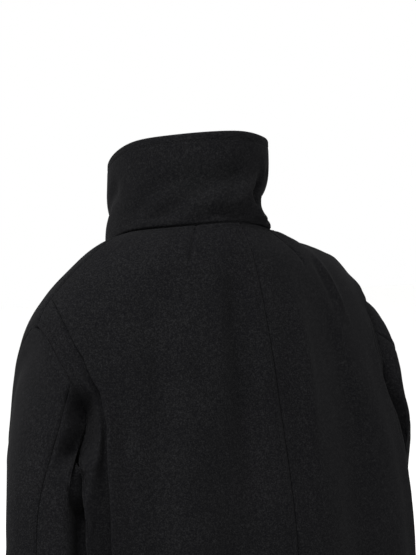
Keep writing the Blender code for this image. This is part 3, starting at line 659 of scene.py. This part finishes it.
def sleeveAxis(side, share):
    line = np.array(sleeveForm[side])
    knots = np.linspace(0, 1, len(line))
    here = smoothThrough(knots, line, share)
    ahead = smoothThrough(knots, line, min(1, share + .01))
    behind = smoothThrough(knots, line, max(0, share - .01))
    return here[:3], unit(ahead[:3] - behind[:3]), here[3]


def sleeveRing(side, share, turns):
    centre, direction, radius = sleeveAxis(side, share)
    outward = np.array((1.0 if side == "left" else -1.0, 0, 0))
    outward = unit(outward - direction * outward.dot(direction))
    backward = np.array((0, 1.0, 0))
    backward = unit(backward - direction * backward.dot(direction) - outward * backward.dot(outward))
    turn = np.radians(turns)[:, None]
    return centre + radius * (np.cos(turn) * outward + np.sin(turn) * backward)


def sleeveGrid(side):
    points, normals = armholeLoop(side)
    turns = loopTurns(points)
    shoulder, sides, underarm, back = sleeveForm["roots"][side]
    out = np.interp((1 - np.cos(np.radians(turns))) / 2, (0, .5, 1), (shoulder, sides, underarm))
    backward = back * np.sqrt(np.maximum(0, np.sin(np.radians(turns))))
    roots = unit(np.stack((out if side == "left" else -out, backward, -np.sqrt(1 - out**2)), -1))
    start = points + unit(roots + normals) * sleeveForm["armholeGap"]
    upperArm = sleeveRing(side, 0, turns)
    down = sleeveAxis(side, 0)[1]
    reach = np.linalg.norm(upperArm - start, axis=1, keepdims=True)
    rings = []
    for s in np.arange(sleeveForm["capRings"]) / sleeveForm["capRings"]:
        rings.append(curveBetween(s, start, reach * roots, upperArm, reach * down))
    for share in np.linspace(0, 1, sleeveForm["armRings"] + 1):
        rings.append(sleeveRing(side, share, turns))
    return keptOffBody(np.array(rings), side), turns


def bodySamples(side):
    levels, angles = np.arange(3.3, jacketForm["hem"], .15), np.arange(-60, 66, 2.5)
    level, angle = (a.ravel() for a in np.meshgrid(levels, angles))
    inArmhole = (level < seamLines["armholeBack"][-1][0]) & (angle < marked(seamLines["armholeBack"], level))
    keep = ~(inArmhole & (angle > marked(seamLines["armholeFront"], level)))
    return bodyLine(mirrored(angle[keep], side), level[keep])


def keptOffBody(grid, side):  # eases the sleeve out where it would touch the body
    points, normals = bodySamples(side)
    wanted = sleeveForm["rest"] * np.minimum(1, np.arange(len(grid)) / sleeveForm["restRings"])[:, None]
    moved = grid.copy()
    for _ in range(sleeveForm["restRounds"]):
        apart = np.linalg.norm(moved[:, :, None] - points, axis=-1)
        nearest = np.argmin(apart, axis=-1)
        facing = normals[nearest]
        depth = np.sum((moved - points[nearest]) * facing, axis=-1)
        close = (apart.min(axis=-1) < sleeveForm["restReach"]) & (depth < wanted)
        push = np.where(close[..., None], facing * (wanted - depth)[..., None], 0)
        push[0] = 0
        push = .5 * push + .25 * (np.roll(push, 1, axis=1) + np.roll(push, -1, axis=1))
        push[1:-1] = .5 * push[1:-1] + .25 * (push[:-2] + push[2:])
        push[0] = 0
        moved += push
    return moved


sleeveHollows = {  # places along, turns, half width in turns, height: beside the body, then in the cap
    "left": (((.14, .30, .48, .70, .95), (98, 102, 100, 96, 94), 20, -.0160),
             ((.00, .06, .09, .12, .22), (328, 320, 308, 300, 298), 32, -.0065)),
    "right": (((.20, .40, .60, .80, .95), (128, 128, 128, 128, 128), 18, -.0080),
              ((.05, .125, .14, .17, .26), (14, 27, 31, 40, 48), 32, -.0105)),
}


class SleeveSurface:  # a smooth surface through the sleeve's rings, read by turn and place along (0 to 1)
    def __init__(self, side):
        self.grid, self.turns = sleeveGrid(side)
        self.hollows = sleeveHollows[side]
        self.knots = np.concatenate([self.turns + whole for whole in (-360, 0, 360)])
        self.around = np.concatenate([self.grid] * 3, axis=1).swapaxes(0, 1)
        self.middle = self.grid.mean(axis=1)

    def read(self, turns, alongs):
        columns = smoothThrough(self.knots, self.around, turns).swapaxes(0, 1)
        rings = np.arange(len(columns))
        points = smoothThrough(rings, columns, alongs * rings[-1])
        normals = self.normals(points, alongs)
        return points + normals * self.foldHeights(turns, alongs)[..., None]

    def normals(self, points, alongs):
        rings = np.arange(len(self.middle))
        middle = smoothThrough(rings, self.middle, alongs * rings[-1])
        normals = unit(np.cross(np.gradient(points, axis=0), np.gradient(points, axis=1)))
        return normals * np.sign(np.sum(normals * (points - middle[:, None])))

    def foldHeights(self, turns, alongs):
        height = np.zeros((len(alongs), len(turns)))
        for along, turn, halfTurn, halfAlong, tall in sleeveForm["folds"]:
            across = angleBetween(turns, turn)[None] / halfTurn
            height += tall * np.exp(-across**2 - ((alongs - along) / halfAlong)[:, None]**2)
        for knots, centres, halfTurn, tall in self.hollows:
            centre = smoothThrough(knots, centres, np.clip(alongs, knots[0], knots[-1]))
            fade = ease(alongs, knots[0], knots[1]) * ease(-alongs, -knots[-1], -knots[-2])
            across = angleBetween(turns[None], centre[:, None]) / halfTurn
            height += tall * fade[:, None] * np.exp(-across**2)
        return height

    def seamTurns(self):
        levels = [m[0] for m in seamLines["armholeBack"]]
        back = self.turns[levels.index(sleeveForm["backSeamLevel"])]
        front = self.turns[len(self.turns) - levels.index(sleeveForm["frontSeamLevel"])]
        return back, front

    def line(self, turn, alongs):  # a line down the sleeve with its normals
        turns = np.array((turn - 2.0, turn, turn + 2.0))
        points = self.read(turns, alongs)
        return points[:, 1], self.normals(points, alongs)[:, 1]


sleeveMesh = {  # fine and coarse steps
    "along": (.0014, .0040), "turn": (.0012, .0038), "band": .012, "ringAt": (.30, .31),
}


def makeSleevePiece(name, surface, first, last, marks):
    places = np.linspace(0, 1, 500)
    down = surface.read(np.array((first + last) / 2 + np.arange(2.0)), places)[:, 0]
    alongs = spacedNear(places, down, (0, 1), *sleeveMesh["along"], sleeveMesh["band"])
    across = np.linspace(first, last, 400)
    ring = surface.read(across, np.array(sleeveMesh["ringAt"]))[0]
    turns = spacedNear(across, ring, (first, last), *sleeveMesh["turn"], sleeveMesh["band"])
    outer = surface.read(turns, alongs)
    normals = surface.normals(outer, alongs)
    outer = settled(outer + normals * reliefOf(outer, marks)[..., None])
    back = jacketForm["wall"] / 2
    outer = drawnIn(outer, normals, [(1, False, back), (1, True, back), (0, True, back)])
    return clothPiece(name, outer, normals, jacketForm["wall"], wool)


# Collar: a tall standing band, open at the zip
collarForm = {
    "sections": (  # share of the height, back y, corner x y, side x, breast x y, front y
        (0.00, .098, .067, .070, .090, .066, -.072, -.098),
        (0.22, .101, .067, .071, .088, .066, -.072, -.098),
        (0.55, .100, .066, .069, .086, .065, -.071, -.097),
        (1.00, .099, .066, .066, .085, .064, -.070, -.095),
    ),
    "heights": (.104, .103, .096),  # back, side, front
    "wall": .0052,
    "creases": (  # angle and share of the height at both ends, width, height
        (126, .27, 166, .24, .0190, -.0095),
        (146, .30, 130, .60, .0095, -.0050),
        (26, .10, 84, .52, .0130, -.0042),
        (88, .50, 112, .60, .0110, -.0030),
        (80, .24, 116, .44, .0120, .0034),
        (205, .30, 250, .55, .0120, -.0045),
        (-54, .30, -20, .55, .0120, -.0045),
    ),
    "metresPerRadian": .095,
    "fine": .0012, "coarse": .0030, "band": .012, "fineAt": (.04, .90), "easedRows": 10,
    "freeShare": .14,  # creases fade out below this share of the height
}
neckRow = jacketForm["sections"][0]
collarPoints = np.array([
    eightPoints((backY, neckRow[1], cornerX, cornerY, neckRow[4], sideX, neckRow[6], neckRow[7],
                 breastX, breastY, neckRow[10], frontY, neckRow[12]))
    for _, backY, cornerX, cornerY, sideX, breastX, breastY, frontY in collarForm["sections"]])


def collarShape(angle, share):
    back, side, front = collarForm["heights"]
    s = np.sin(np.radians(angle))
    tall = side + (np.where(s > 0, back, front) - side) * s * s
    heights = [row[0] for row in collarForm["sections"]]
    points = ringThrough(smoothThrough(heights, collarPoints, share), angle)
    points[..., 2] += poseLift(points[..., 0], 0) + share * tall
    return points


def creaseHeight(angle, share):
    height = 0
    for angleA, shareA, angleB, shareB, width, tall in collarForm["creases"]:
        runX = math.radians(angleB - angleA) * collarForm["metresPerRadian"]
        runY = (shareB - shareA) * collarForm["heights"][0]
        x = np.radians(angleBetween(angle, angleA)) * collarForm["metresPerRadian"]
        y = (share - shareA) * collarForm["heights"][0]
        along = np.clip((x * runX + y * runY) / (runX**2 + runY**2), 0, 1)
        height = height + tall * np.exp(-((x - along * runX)**2 + (y - along * runY)**2) / width**2)
    return height


def collarSurface(angle, share):
    normals = normalOf(lambda a, down: collarShape(a, 1 - down), angle, 1 - share, .8, .02)
    height = creaseHeight(angle, share) * ease(share, 0, collarForm["freeShare"])
    return collarShape(angle, share) + normals * height[..., None]


def collarNormal(angle, share):
    return normalOf(lambda a, down: collarSurface(a, 1 - down), angle, 1 - share, 1.0, .02)


def collarAngles():
    left, right = (besideZip(np.zeros(1), side, zipFront["gap"] / 2)[0] for side in ("left", "right"))
    return left, right + 360


def makeCollar(marks):
    around = np.linspace(*collarAngles(), 900)
    angles = spaced(around, collarShape(around, 0 * around), np.full(900, collarForm["coarse"]))
    up = np.linspace(0, 1, 200)
    rise = collarShape(0 * up + 90, up)
    shares = spacedNear(up, rise, collarForm["fineAt"], collarForm["fine"], collarForm["coarse"],
                        collarForm["band"])
    angle, share = np.meshgrid(angles, shares[::-1])
    normals = collarNormal(angle, share)
    outer = collarSurface(angle, share)
    outer = outer + normals * reliefOf(outer, marks)[..., None]
    outer[..., 2] += jacketForm["seamGap"]
    half = collarForm["wall"] / 2
    outer = drawnIn(outer, normals, [(*edge, half) for edge in allEdges], collarForm["easedRows"])
    return clothPiece("collar_band", outer, normals, collarForm["wall"], wool)


def declareCloth(piece, node):
    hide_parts(node)


# What shows on the cloth besides its form: seams sink, the turnings beside them stand up, stitches pull in
sewing = {
    "seam": (.0020, -.0009), "turning": (.0030, .0009), "stitchRow": (.0014, -.0007), "dart": (.0022, -.0016),
    "centreBackRow": .0065, "neckRow": .0050, "armholeRow": .0080, "sleeveRow": .0060, "collarRow": .0090,
    "hemRow": .0250, "hemStartLevel": 7.8, "frontRow": .0080,
    "creaseFade": .4, "buckleFade": .3, "dartFade": .35,  # share of a crease over which its ends fade
}
dartLine = {"angles": (57.5, 61.0, 62.5, 66.0), "levels": (.02, .70, 1.22, 1.64)}
softCreases = (  # angles and levels along the crease, width, height; placed from the photograph
    ((134.0, 127.5, 125.0, 124.0, 123.0), (1.0, 1.5, 2.06, 2.54, 3.1), .0045, .0026),
    ((130.0, 123.5, 121.0, 120.0, 119.0), (1.0, 1.5, 2.06, 2.54, 3.1), .0070, -.0022),
    ((157.0, 154.0, 152.0), (2.45, 2.90, 3.25), .0180, .0045),
    ((33.5, 42.0, 47.0), (2.10, 2.60, 3.2), .0100, -.0022),
    ((57.0, 60.5, 62.0), (1.9, 2.9, 3.9), .0110, -.0034),
    ((66.0, 67.5, 67.0, 66.5), (1.8, 3.2, 4.8, 6.4), .0130, .0036),
    ((80.0, 80.5, 81.5, 82.0, 81.0), (.7, 1.6, 3.0, 4.8, 7.8), .0160, -.0110),
    ((104.0, 102.0, 99.0, 97.5, 97.0), (.8, 2.6, 3.6, 4.5, 6.2), .0120, .0038),
    ((118.0, 114.5, 113.0, 113.0), (1.6, 3.0, 4.1, 5.6), .0130, -.0040),
    ((52.0, 53.5, 55.5, 58.0), (3.7, 4.3, 5.0, 6.2), .0110, -.0036),
    ((36.0, 33.0, 27.0), (4.45, 4.8, 5.2), .0110, -.0060),
    ((174.0, 171.0, 166.0, 160.0), (1.1, 1.5, 1.8, 2.15), .0220, -.0060),
    ((128.0, 138.0, 150.0), (.15, .40, .85), .0240, .0040),
)
collarBuckles = (  # angles and shares of the height along the crease, width, height
    ((102, 110, 123), (.23, .38, .62), .0100, -.0130),
    ((116, 140, 166), (.28, .25, .24), .0110, -.0060),
    ((104, 112, 124), (.16, .10, .04), .0075, .0045),
    ((-8, 10, 27, 54, 74), (.04, .20, .44, .49, .51), .0120, -.0034),
    ((42, 70, 82), (.15, .30, .42), .0110, .0030),
    ((60, 80, 104), (.10, .08, .09), .0080, -.0026),
    ((86, 80), (.47, .20), .0070, -.0022),
)


def lineOnCollar(angles, shares, count=60):
    angle, share = evenly(angles, count), evenly(shares, count)
    return collarSurface(angle, share), collarNormal(angle, share)


def collarRow():
    first, last = collarAngles()
    around = np.linspace(first + 1, last - 1, 30)
    share = 1 - sewing["collarRow"] / collarForm["heights"][0]
    return lineOnCollar(around, np.full(len(around), share), 240)


def collarMarks():
    marks = [(collarRow()[0], *sewing["stitchRow"], 0, 0)]
    fade = sewing["buckleFade"]
    for angles, shares, width, height in collarBuckles:
        marks.append((lineOnCollar(angles, shares)[0], width, height, fade, fade))
    return marks


def sleeveMarks(surface, side):
    backSeam, _ = surface.seamTurns()
    down = np.linspace(.02, 1, 140)
    seam = surface.line(backSeam, down)
    away = sewing["sleeveRow"] * (-1 if side == "left" else 1)
    return [(seam[0], *sewing["seam"], 0, 0), (besideLine(seam, away)[0], *sewing["stitchRow"], 0, 0),
            (besideLine(seam, away / 2)[0], *sewing["turning"], 0, 0)]


def sleeveStitchRows(surface, side, marks):
    seam = surface.line(surface.seamTurns()[0], np.linspace(.03, .99, 140))
    away = sewing["sleeveRow"] * (-1 if side == "left" else 1)
    turns = np.linspace(0, 360, 120)
    cuff = np.array((-.01, 0, .01)) + 1 - sewing["hemRow"] / runLength(seam[0])[-1]
    ring = surface.read(turns, cuff)
    rows = [besideLine(seam, away), (ring[1], surface.normals(ring, cuff)[1])]
    return [risen(row, marks) for row in rows]


def seamOnBody(name, side):
    places = np.array(seamLines[name], float)
    return lineOnBody(places[:, 1], places[:, 0], side, 120)


def armholeRows(side):  # the row of stitching lies on the body's side of the armhole
    away = sewing["armholeRow"] * (1 if side == "left" else -1)
    return ("armholeBack", away), ("armholeFront", -away)


def frontEdgeLine(side):
    down = np.linspace(.05, jacketForm["hem"] - .02, 160)
    return bodyLine(besideZip(down, side, zipFront["gap"] / 2 + sewing["frontRow"]), down)


def bodyMarks(side):
    marks = []

    def addMark(line, kind, fadeStart=0, fadeEnd=0):
        marks.append((line[0], *sewing[kind], fadeStart, fadeEnd))

    centreBack = lineOnBody(np.full(9, 90.0), np.arange(9.0), count=160)
    addMark(centreBack, "seam")
    if side == "left":
        addMark(besideLine(centreBack, -sewing["centreBackRow"] / 2), "turning")
        addMark(besideLine(centreBack, -sewing["centreBackRow"]), "stitchRow")
    addMark(lineOnBody(dartLine["angles"], dartLine["levels"], side), "dart", 0, sewing["dartFade"])
    around = np.linspace(-75, 255, 200)
    neck = bodyLine(around, 0 * around)
    addMark(neck, "seam")
    addMark(besideLine(neck, -sewing["neckRow"]), "stitchRow")
    addMark(seamOnBody("shoulder", side), "seam")
    for name, away in armholeRows(side):
        line = seamOnBody(name, side)
        addMark(line, "seam")
        addMark(besideLine(line, away / 2), "turning")
        addMark(besideLine(line, away), "stitchRow")
    addMark(frontEdgeLine(side), "stitchRow")
    fade = sewing["creaseFade"]
    for angles, levels, width, tall in softCreases:
        marks.append((lineOnBody(angles, levels)[0], width, tall, fade, fade))
    return marks


sleeveRows = {}
for side in ("left", "right"):
    marks = bodyMarks(side)
    declareCloth(makeBack(side, marks), "back_" + side)
    declareCloth(makeSideBack(side, marks), "side_back_" + side)
    declareCloth(makeFront(side, marks), "front_" + side)
    surface = SleeveSurface(side)
    backSeam, frontSeam = surface.seamTurns()
    onSleeve = sleeveMarks(surface, side)
    sleeveRows[side] = sleeveStitchRows(surface, side, onSleeve)
    top = makeSleevePiece("top_sleeve_cloth_" + side, surface, frontSeam - 360, backSeam, onSleeve)
    declareCloth(top, "top_sleeve_" + side)
    under = makeSleevePiece("under_sleeve_cloth_" + side, surface, backSeam, frontSeam, onSleeve)
    declareCloth(under, "under_sleeve_" + side)
declareCloth(makeCollar(collarMarks()), "collar")
print("cloth made")

# Rows of stitching: each stitch is a short plump thread that dips into the cloth at both ends
stitch = {"pitch": .0036, "length": .0029, "width": .0007, "height": .0005, "sides": 6}
stitchProfile = (  # along, size, rise
    (-.5, .15, -.9), (-.34, .8, .0), (0, 1, .35), (.34, .8, .0), (.5, .15, -.9))


def stitchPlaces(line, pitch):
    points, normals = line
    arc = runLength(points)
    at = np.arange(pitch / 2, arc[-1], pitch)
    middle = np.stack([np.interp(at, arc, points[:, k]) for k in range(3)], -1)
    facing = unit(np.stack([np.interp(at, arc, normals[:, k]) for k in range(3)], -1))
    run = unit(np.stack([np.interp(at, arc, c) for c in np.gradient(points, axis=0).T], -1))
    return middle, facing, unit(run - facing * np.sum(run * facing, axis=1, keepdims=True))


def addLoft(vertices, faces, rings):  # a closed solid through rings of points
    start, sides = len(vertices), len(rings[0])
    last = start + (len(rings) - 1) * sides
    for ring in rings:
        vertices.extend(ring)
    for row in range(start, last, sides):
        for k in range(sides):
            a, b = row + k, row + (k + 1) % sides
            faces.append((a, b, b + sides, a + sides))
    faces.append(tuple(reversed(range(start, start + sides))))
    faces.append(tuple(range(last, last + sides)))


def makeStitches(name, rows):
    vertices, faces = [], []
    turns = np.radians(np.arange(stitch["sides"]) * 360 / stitch["sides"])
    for line in rows:
        middle, facing, run = stitchPlaces(line, stitch["pitch"])
        across = np.cross(facing, run)
        for centre, up, ahead, aside in zip(middle, facing, run, across):
            rings = []
            for along, size, rise in stitchProfile:
                spot = centre + ahead * along * stitch["length"] + up * rise * stitch["height"]
                wide, tall = aside * stitch["width"], up * stitch["height"]
                rings.append([spot + size / 2 * (wide * math.cos(t) + tall * math.sin(t)) for t in turns])
            addLoft(vertices, faces, rings)
    meshPiece(name, vertices, faces, thread)


def hemLine(side):
    upper, lower = (row[1] for row in jacketForm["sections"][-2:])  # centre back heights of the last level
    level = np.full(160, jacketForm["hem"] - sewing["hemRow"] / (upper - lower))
    first = besideZip(np.full(1, sewing["hemStartLevel"]), side, zipFront["gap"])[0]
    return bodyLine(np.linspace(first, 90 if side == "left" else -270, len(level)), level)


def neckLine():
    around = np.linspace(*collarAngles(), 240)
    return besideLine(bodyLine(around, 0 * around), -sewing["neckRow"])


for side in ("left", "right"):
    marks = bodyMarks(side)
    rows = [risen(besideLine(seamOnBody(name, side), away), marks) for name, away in armholeRows(side)]
    makeStitches("armhole_stitching_" + side, rows)
    makeStitches("front_edge_stitching_" + side, [risen(frontEdgeLine(side), marks)])
    makeStitches("hem_stitching_" + side, [risen(hemLine(side), marks)])
    makeStitches("sleeve_stitching_" + side, sleeveRows[side])
marks = bodyMarks("left")
centreBack = lineOnBody(np.full(9, 90.0), np.linspace(.1, 7.9, 9), count=200)
makeStitches("centre_back_stitching", [risen(besideLine(centreBack, -sewing["centreBackRow"]), marks)])
makeStitches("neck_stitching", [risen(neckLine(), marks)])
makeStitches("collar_stitching", [risen(collarRow(), collarMarks())])
print("stitching made")

# Zip teeth: cast in two rows that mesh in the middle of the zip
zipTeeth = {
    "pitch": .0023, "along": .0013, "across": .0030, "rise": .0016, "depth": .0032, "collarDepth": .0058,
    "meshedShare": .28, "openShare": .75,  # a row's distance from the middle, below and above the slider
    "profile": ((0, 1), (.6, .95), (1, .6)), "sharpDegrees": 35,  # profile: share of the rise, size
}


def zipMiddle():
    down = np.linspace(jacketForm["hem"] - .02, 0, 300)
    angle = zipAngle(down)
    facing = bodyNormal(angle, down)
    up = np.linspace(.02, .99, 60)
    neck = np.full_like(up, zipAngle(np.zeros(1))[0])
    collarFacing = collarNormal(neck, up)
    points = np.concatenate((bodySurface(angle, down) - facing * zipTeeth["depth"],
                             collarSurface(neck, up) - collarFacing * zipTeeth["collarDepth"]))
    return points, np.concatenate((facing, collarFacing))


def makeTeeth(name):
    sliderFoot, sliderTop = (corner[2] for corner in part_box("zip_slider"))
    middle, facing, run = stitchPlaces(zipMiddle(), zipTeeth["pitch"] / 2)
    across = np.cross(run, facing)
    corners = np.array(((-1, -1), (1, -1), (1, 1), (-1, 1))) / 2
    vertices, faces = [], []
    for k, (centre, up, ahead, aside) in enumerate(zip(middle, facing, run, across)):
        if sliderFoot - zipTeeth["pitch"] < centre[2] < sliderTop + zipTeeth["pitch"]:
            continue
        meshed = centre[2] < sliderFoot
        apart = zipTeeth["across"] * (zipTeeth["meshedShare"] if meshed else zipTeeth["openShare"])
        centre = centre + aside * apart * (1 if k % 2 else -1)
        rings = []
        for rise, size in zipTeeth["profile"]:
            spot = centre + up * rise * zipTeeth["rise"]
            rings.append([spot + ahead * along * zipTeeth["along"] + aside * wide * zipTeeth["across"]
                          for along, wide in corners * size])
        addLoft(vertices, faces, rings)
    piece = meshPiece(name, vertices, faces, nickel)
    piece.data.set_sharp_from_angle(angle=math.radians(zipTeeth["sharpDegrees"]))


makeTeeth("zip_teeth")
print("zip made")

for node, material in (("zip_tape_left", tapeCloth), ("zip_tape_right", tapeCloth), ("zip_slider", nickel),
                       ("zip_pull", nickel)):
    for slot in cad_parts[node].material_slots:
        slot.material = material

# Studio: a pale floor below the hem, a pale room and a broad light from the upper left of the picture
studio = {
    "azimuth": 142, "elevation": 4, "distance": 3.2, "frameHeight": .645,
    "imageSize": (416, 555), "originPixel": (188, 235),
    "floorDrop": .03, "floorSize": 12.0, "floorColour": "#fdfdfc", "floorRoughness": .9,
    "roomColour": "#ffffff", "roomStrength": 1.0, "lightAim": (0, 0, -.2), "farthest": 60,
}


def viewDirection(azimuth, elevation):
    a, e = math.radians(azimuth), math.radians(elevation)
    return Vector((math.sin(a) * math.cos(e), -math.cos(a) * math.cos(e), math.sin(e)))


def addCamera():
    direction = viewDirection(studio["azimuth"], studio["elevation"])
    right = Vector((0, 0, 1)).cross(direction).normalized()
    up = direction.cross(right)
    width, height = studio["imageSize"]
    pixel = studio["frameHeight"] / height
    across, down = studio["originPixel"]
    target = right * (width / 2 - across) * pixel - up * (height / 2 - down) * pixel
    data = bpy.data.cameras.new("camera")
    data.sensor_fit = "VERTICAL"
    data.angle = 2 * math.atan(studio["frameHeight"] / 2 / studio["distance"])
    data.clip_end = studio["farthest"]
    camera = linked("camera", data)
    camera.location = target + direction * studio["distance"]
    camera.rotation_euler = direction.to_track_quat("Z", "Y").to_euler()
    bpy.context.scene.camera = camera


lights = (  # name, azimuth, elevation, distance, size, watts
    ("key", 112, 56, 2.4, 1.0, 86),
)


def addLight(name, azimuth, elevation, distance, size, watts):
    data = bpy.data.lights.new(name, "AREA")
    data.energy = watts
    data.size = size
    lamp = linked(name, data)
    direction = viewDirection(azimuth, elevation)
    lamp.location = Vector(studio["lightAim"]) + direction * distance
    lamp.rotation_euler = direction.to_track_quat("Z", "Y").to_euler()


def addRoom():
    world = bpy.data.worlds.new("pale room")
    world.use_nodes = True
    background = world.node_tree.nodes["Background"]
    background.inputs["Color"].default_value = toLinear(studio["roomColour"])
    background.inputs["Strength"].default_value = studio["roomStrength"]
    bpy.context.scene.world = world
    bpy.context.scene.view_settings.view_transform = "Standard"  # so that the pale room stays white


def addFloor():
    half = studio["floorSize"] / 2
    height = cadBox[0][2] - studio["floorDrop"]
    mesh = bpy.data.meshes.new("floor")
    corners = [(x * half, y * half, height) for x, y in ((-1, -1), (1, -1), (1, 1), (-1, 1))]
    mesh.from_pydata(corners, [], [(0, 1, 2, 3)])
    floor = linked("floor", mesh)
    paint = bpy.data.materials.new("matt white paint")
    paint.use_nodes = True
    shader = paint.node_tree.nodes["Principled BSDF"]
    shader.inputs["Base Color"].default_value = toLinear(studio["floorColour"])
    shader.inputs["Roughness"].default_value = studio["floorRoughness"]
    mesh.materials.append(paint)


addCamera()
for light in lights:
    addLight(*light)
addRoom()
addFloor()
print("studio made")
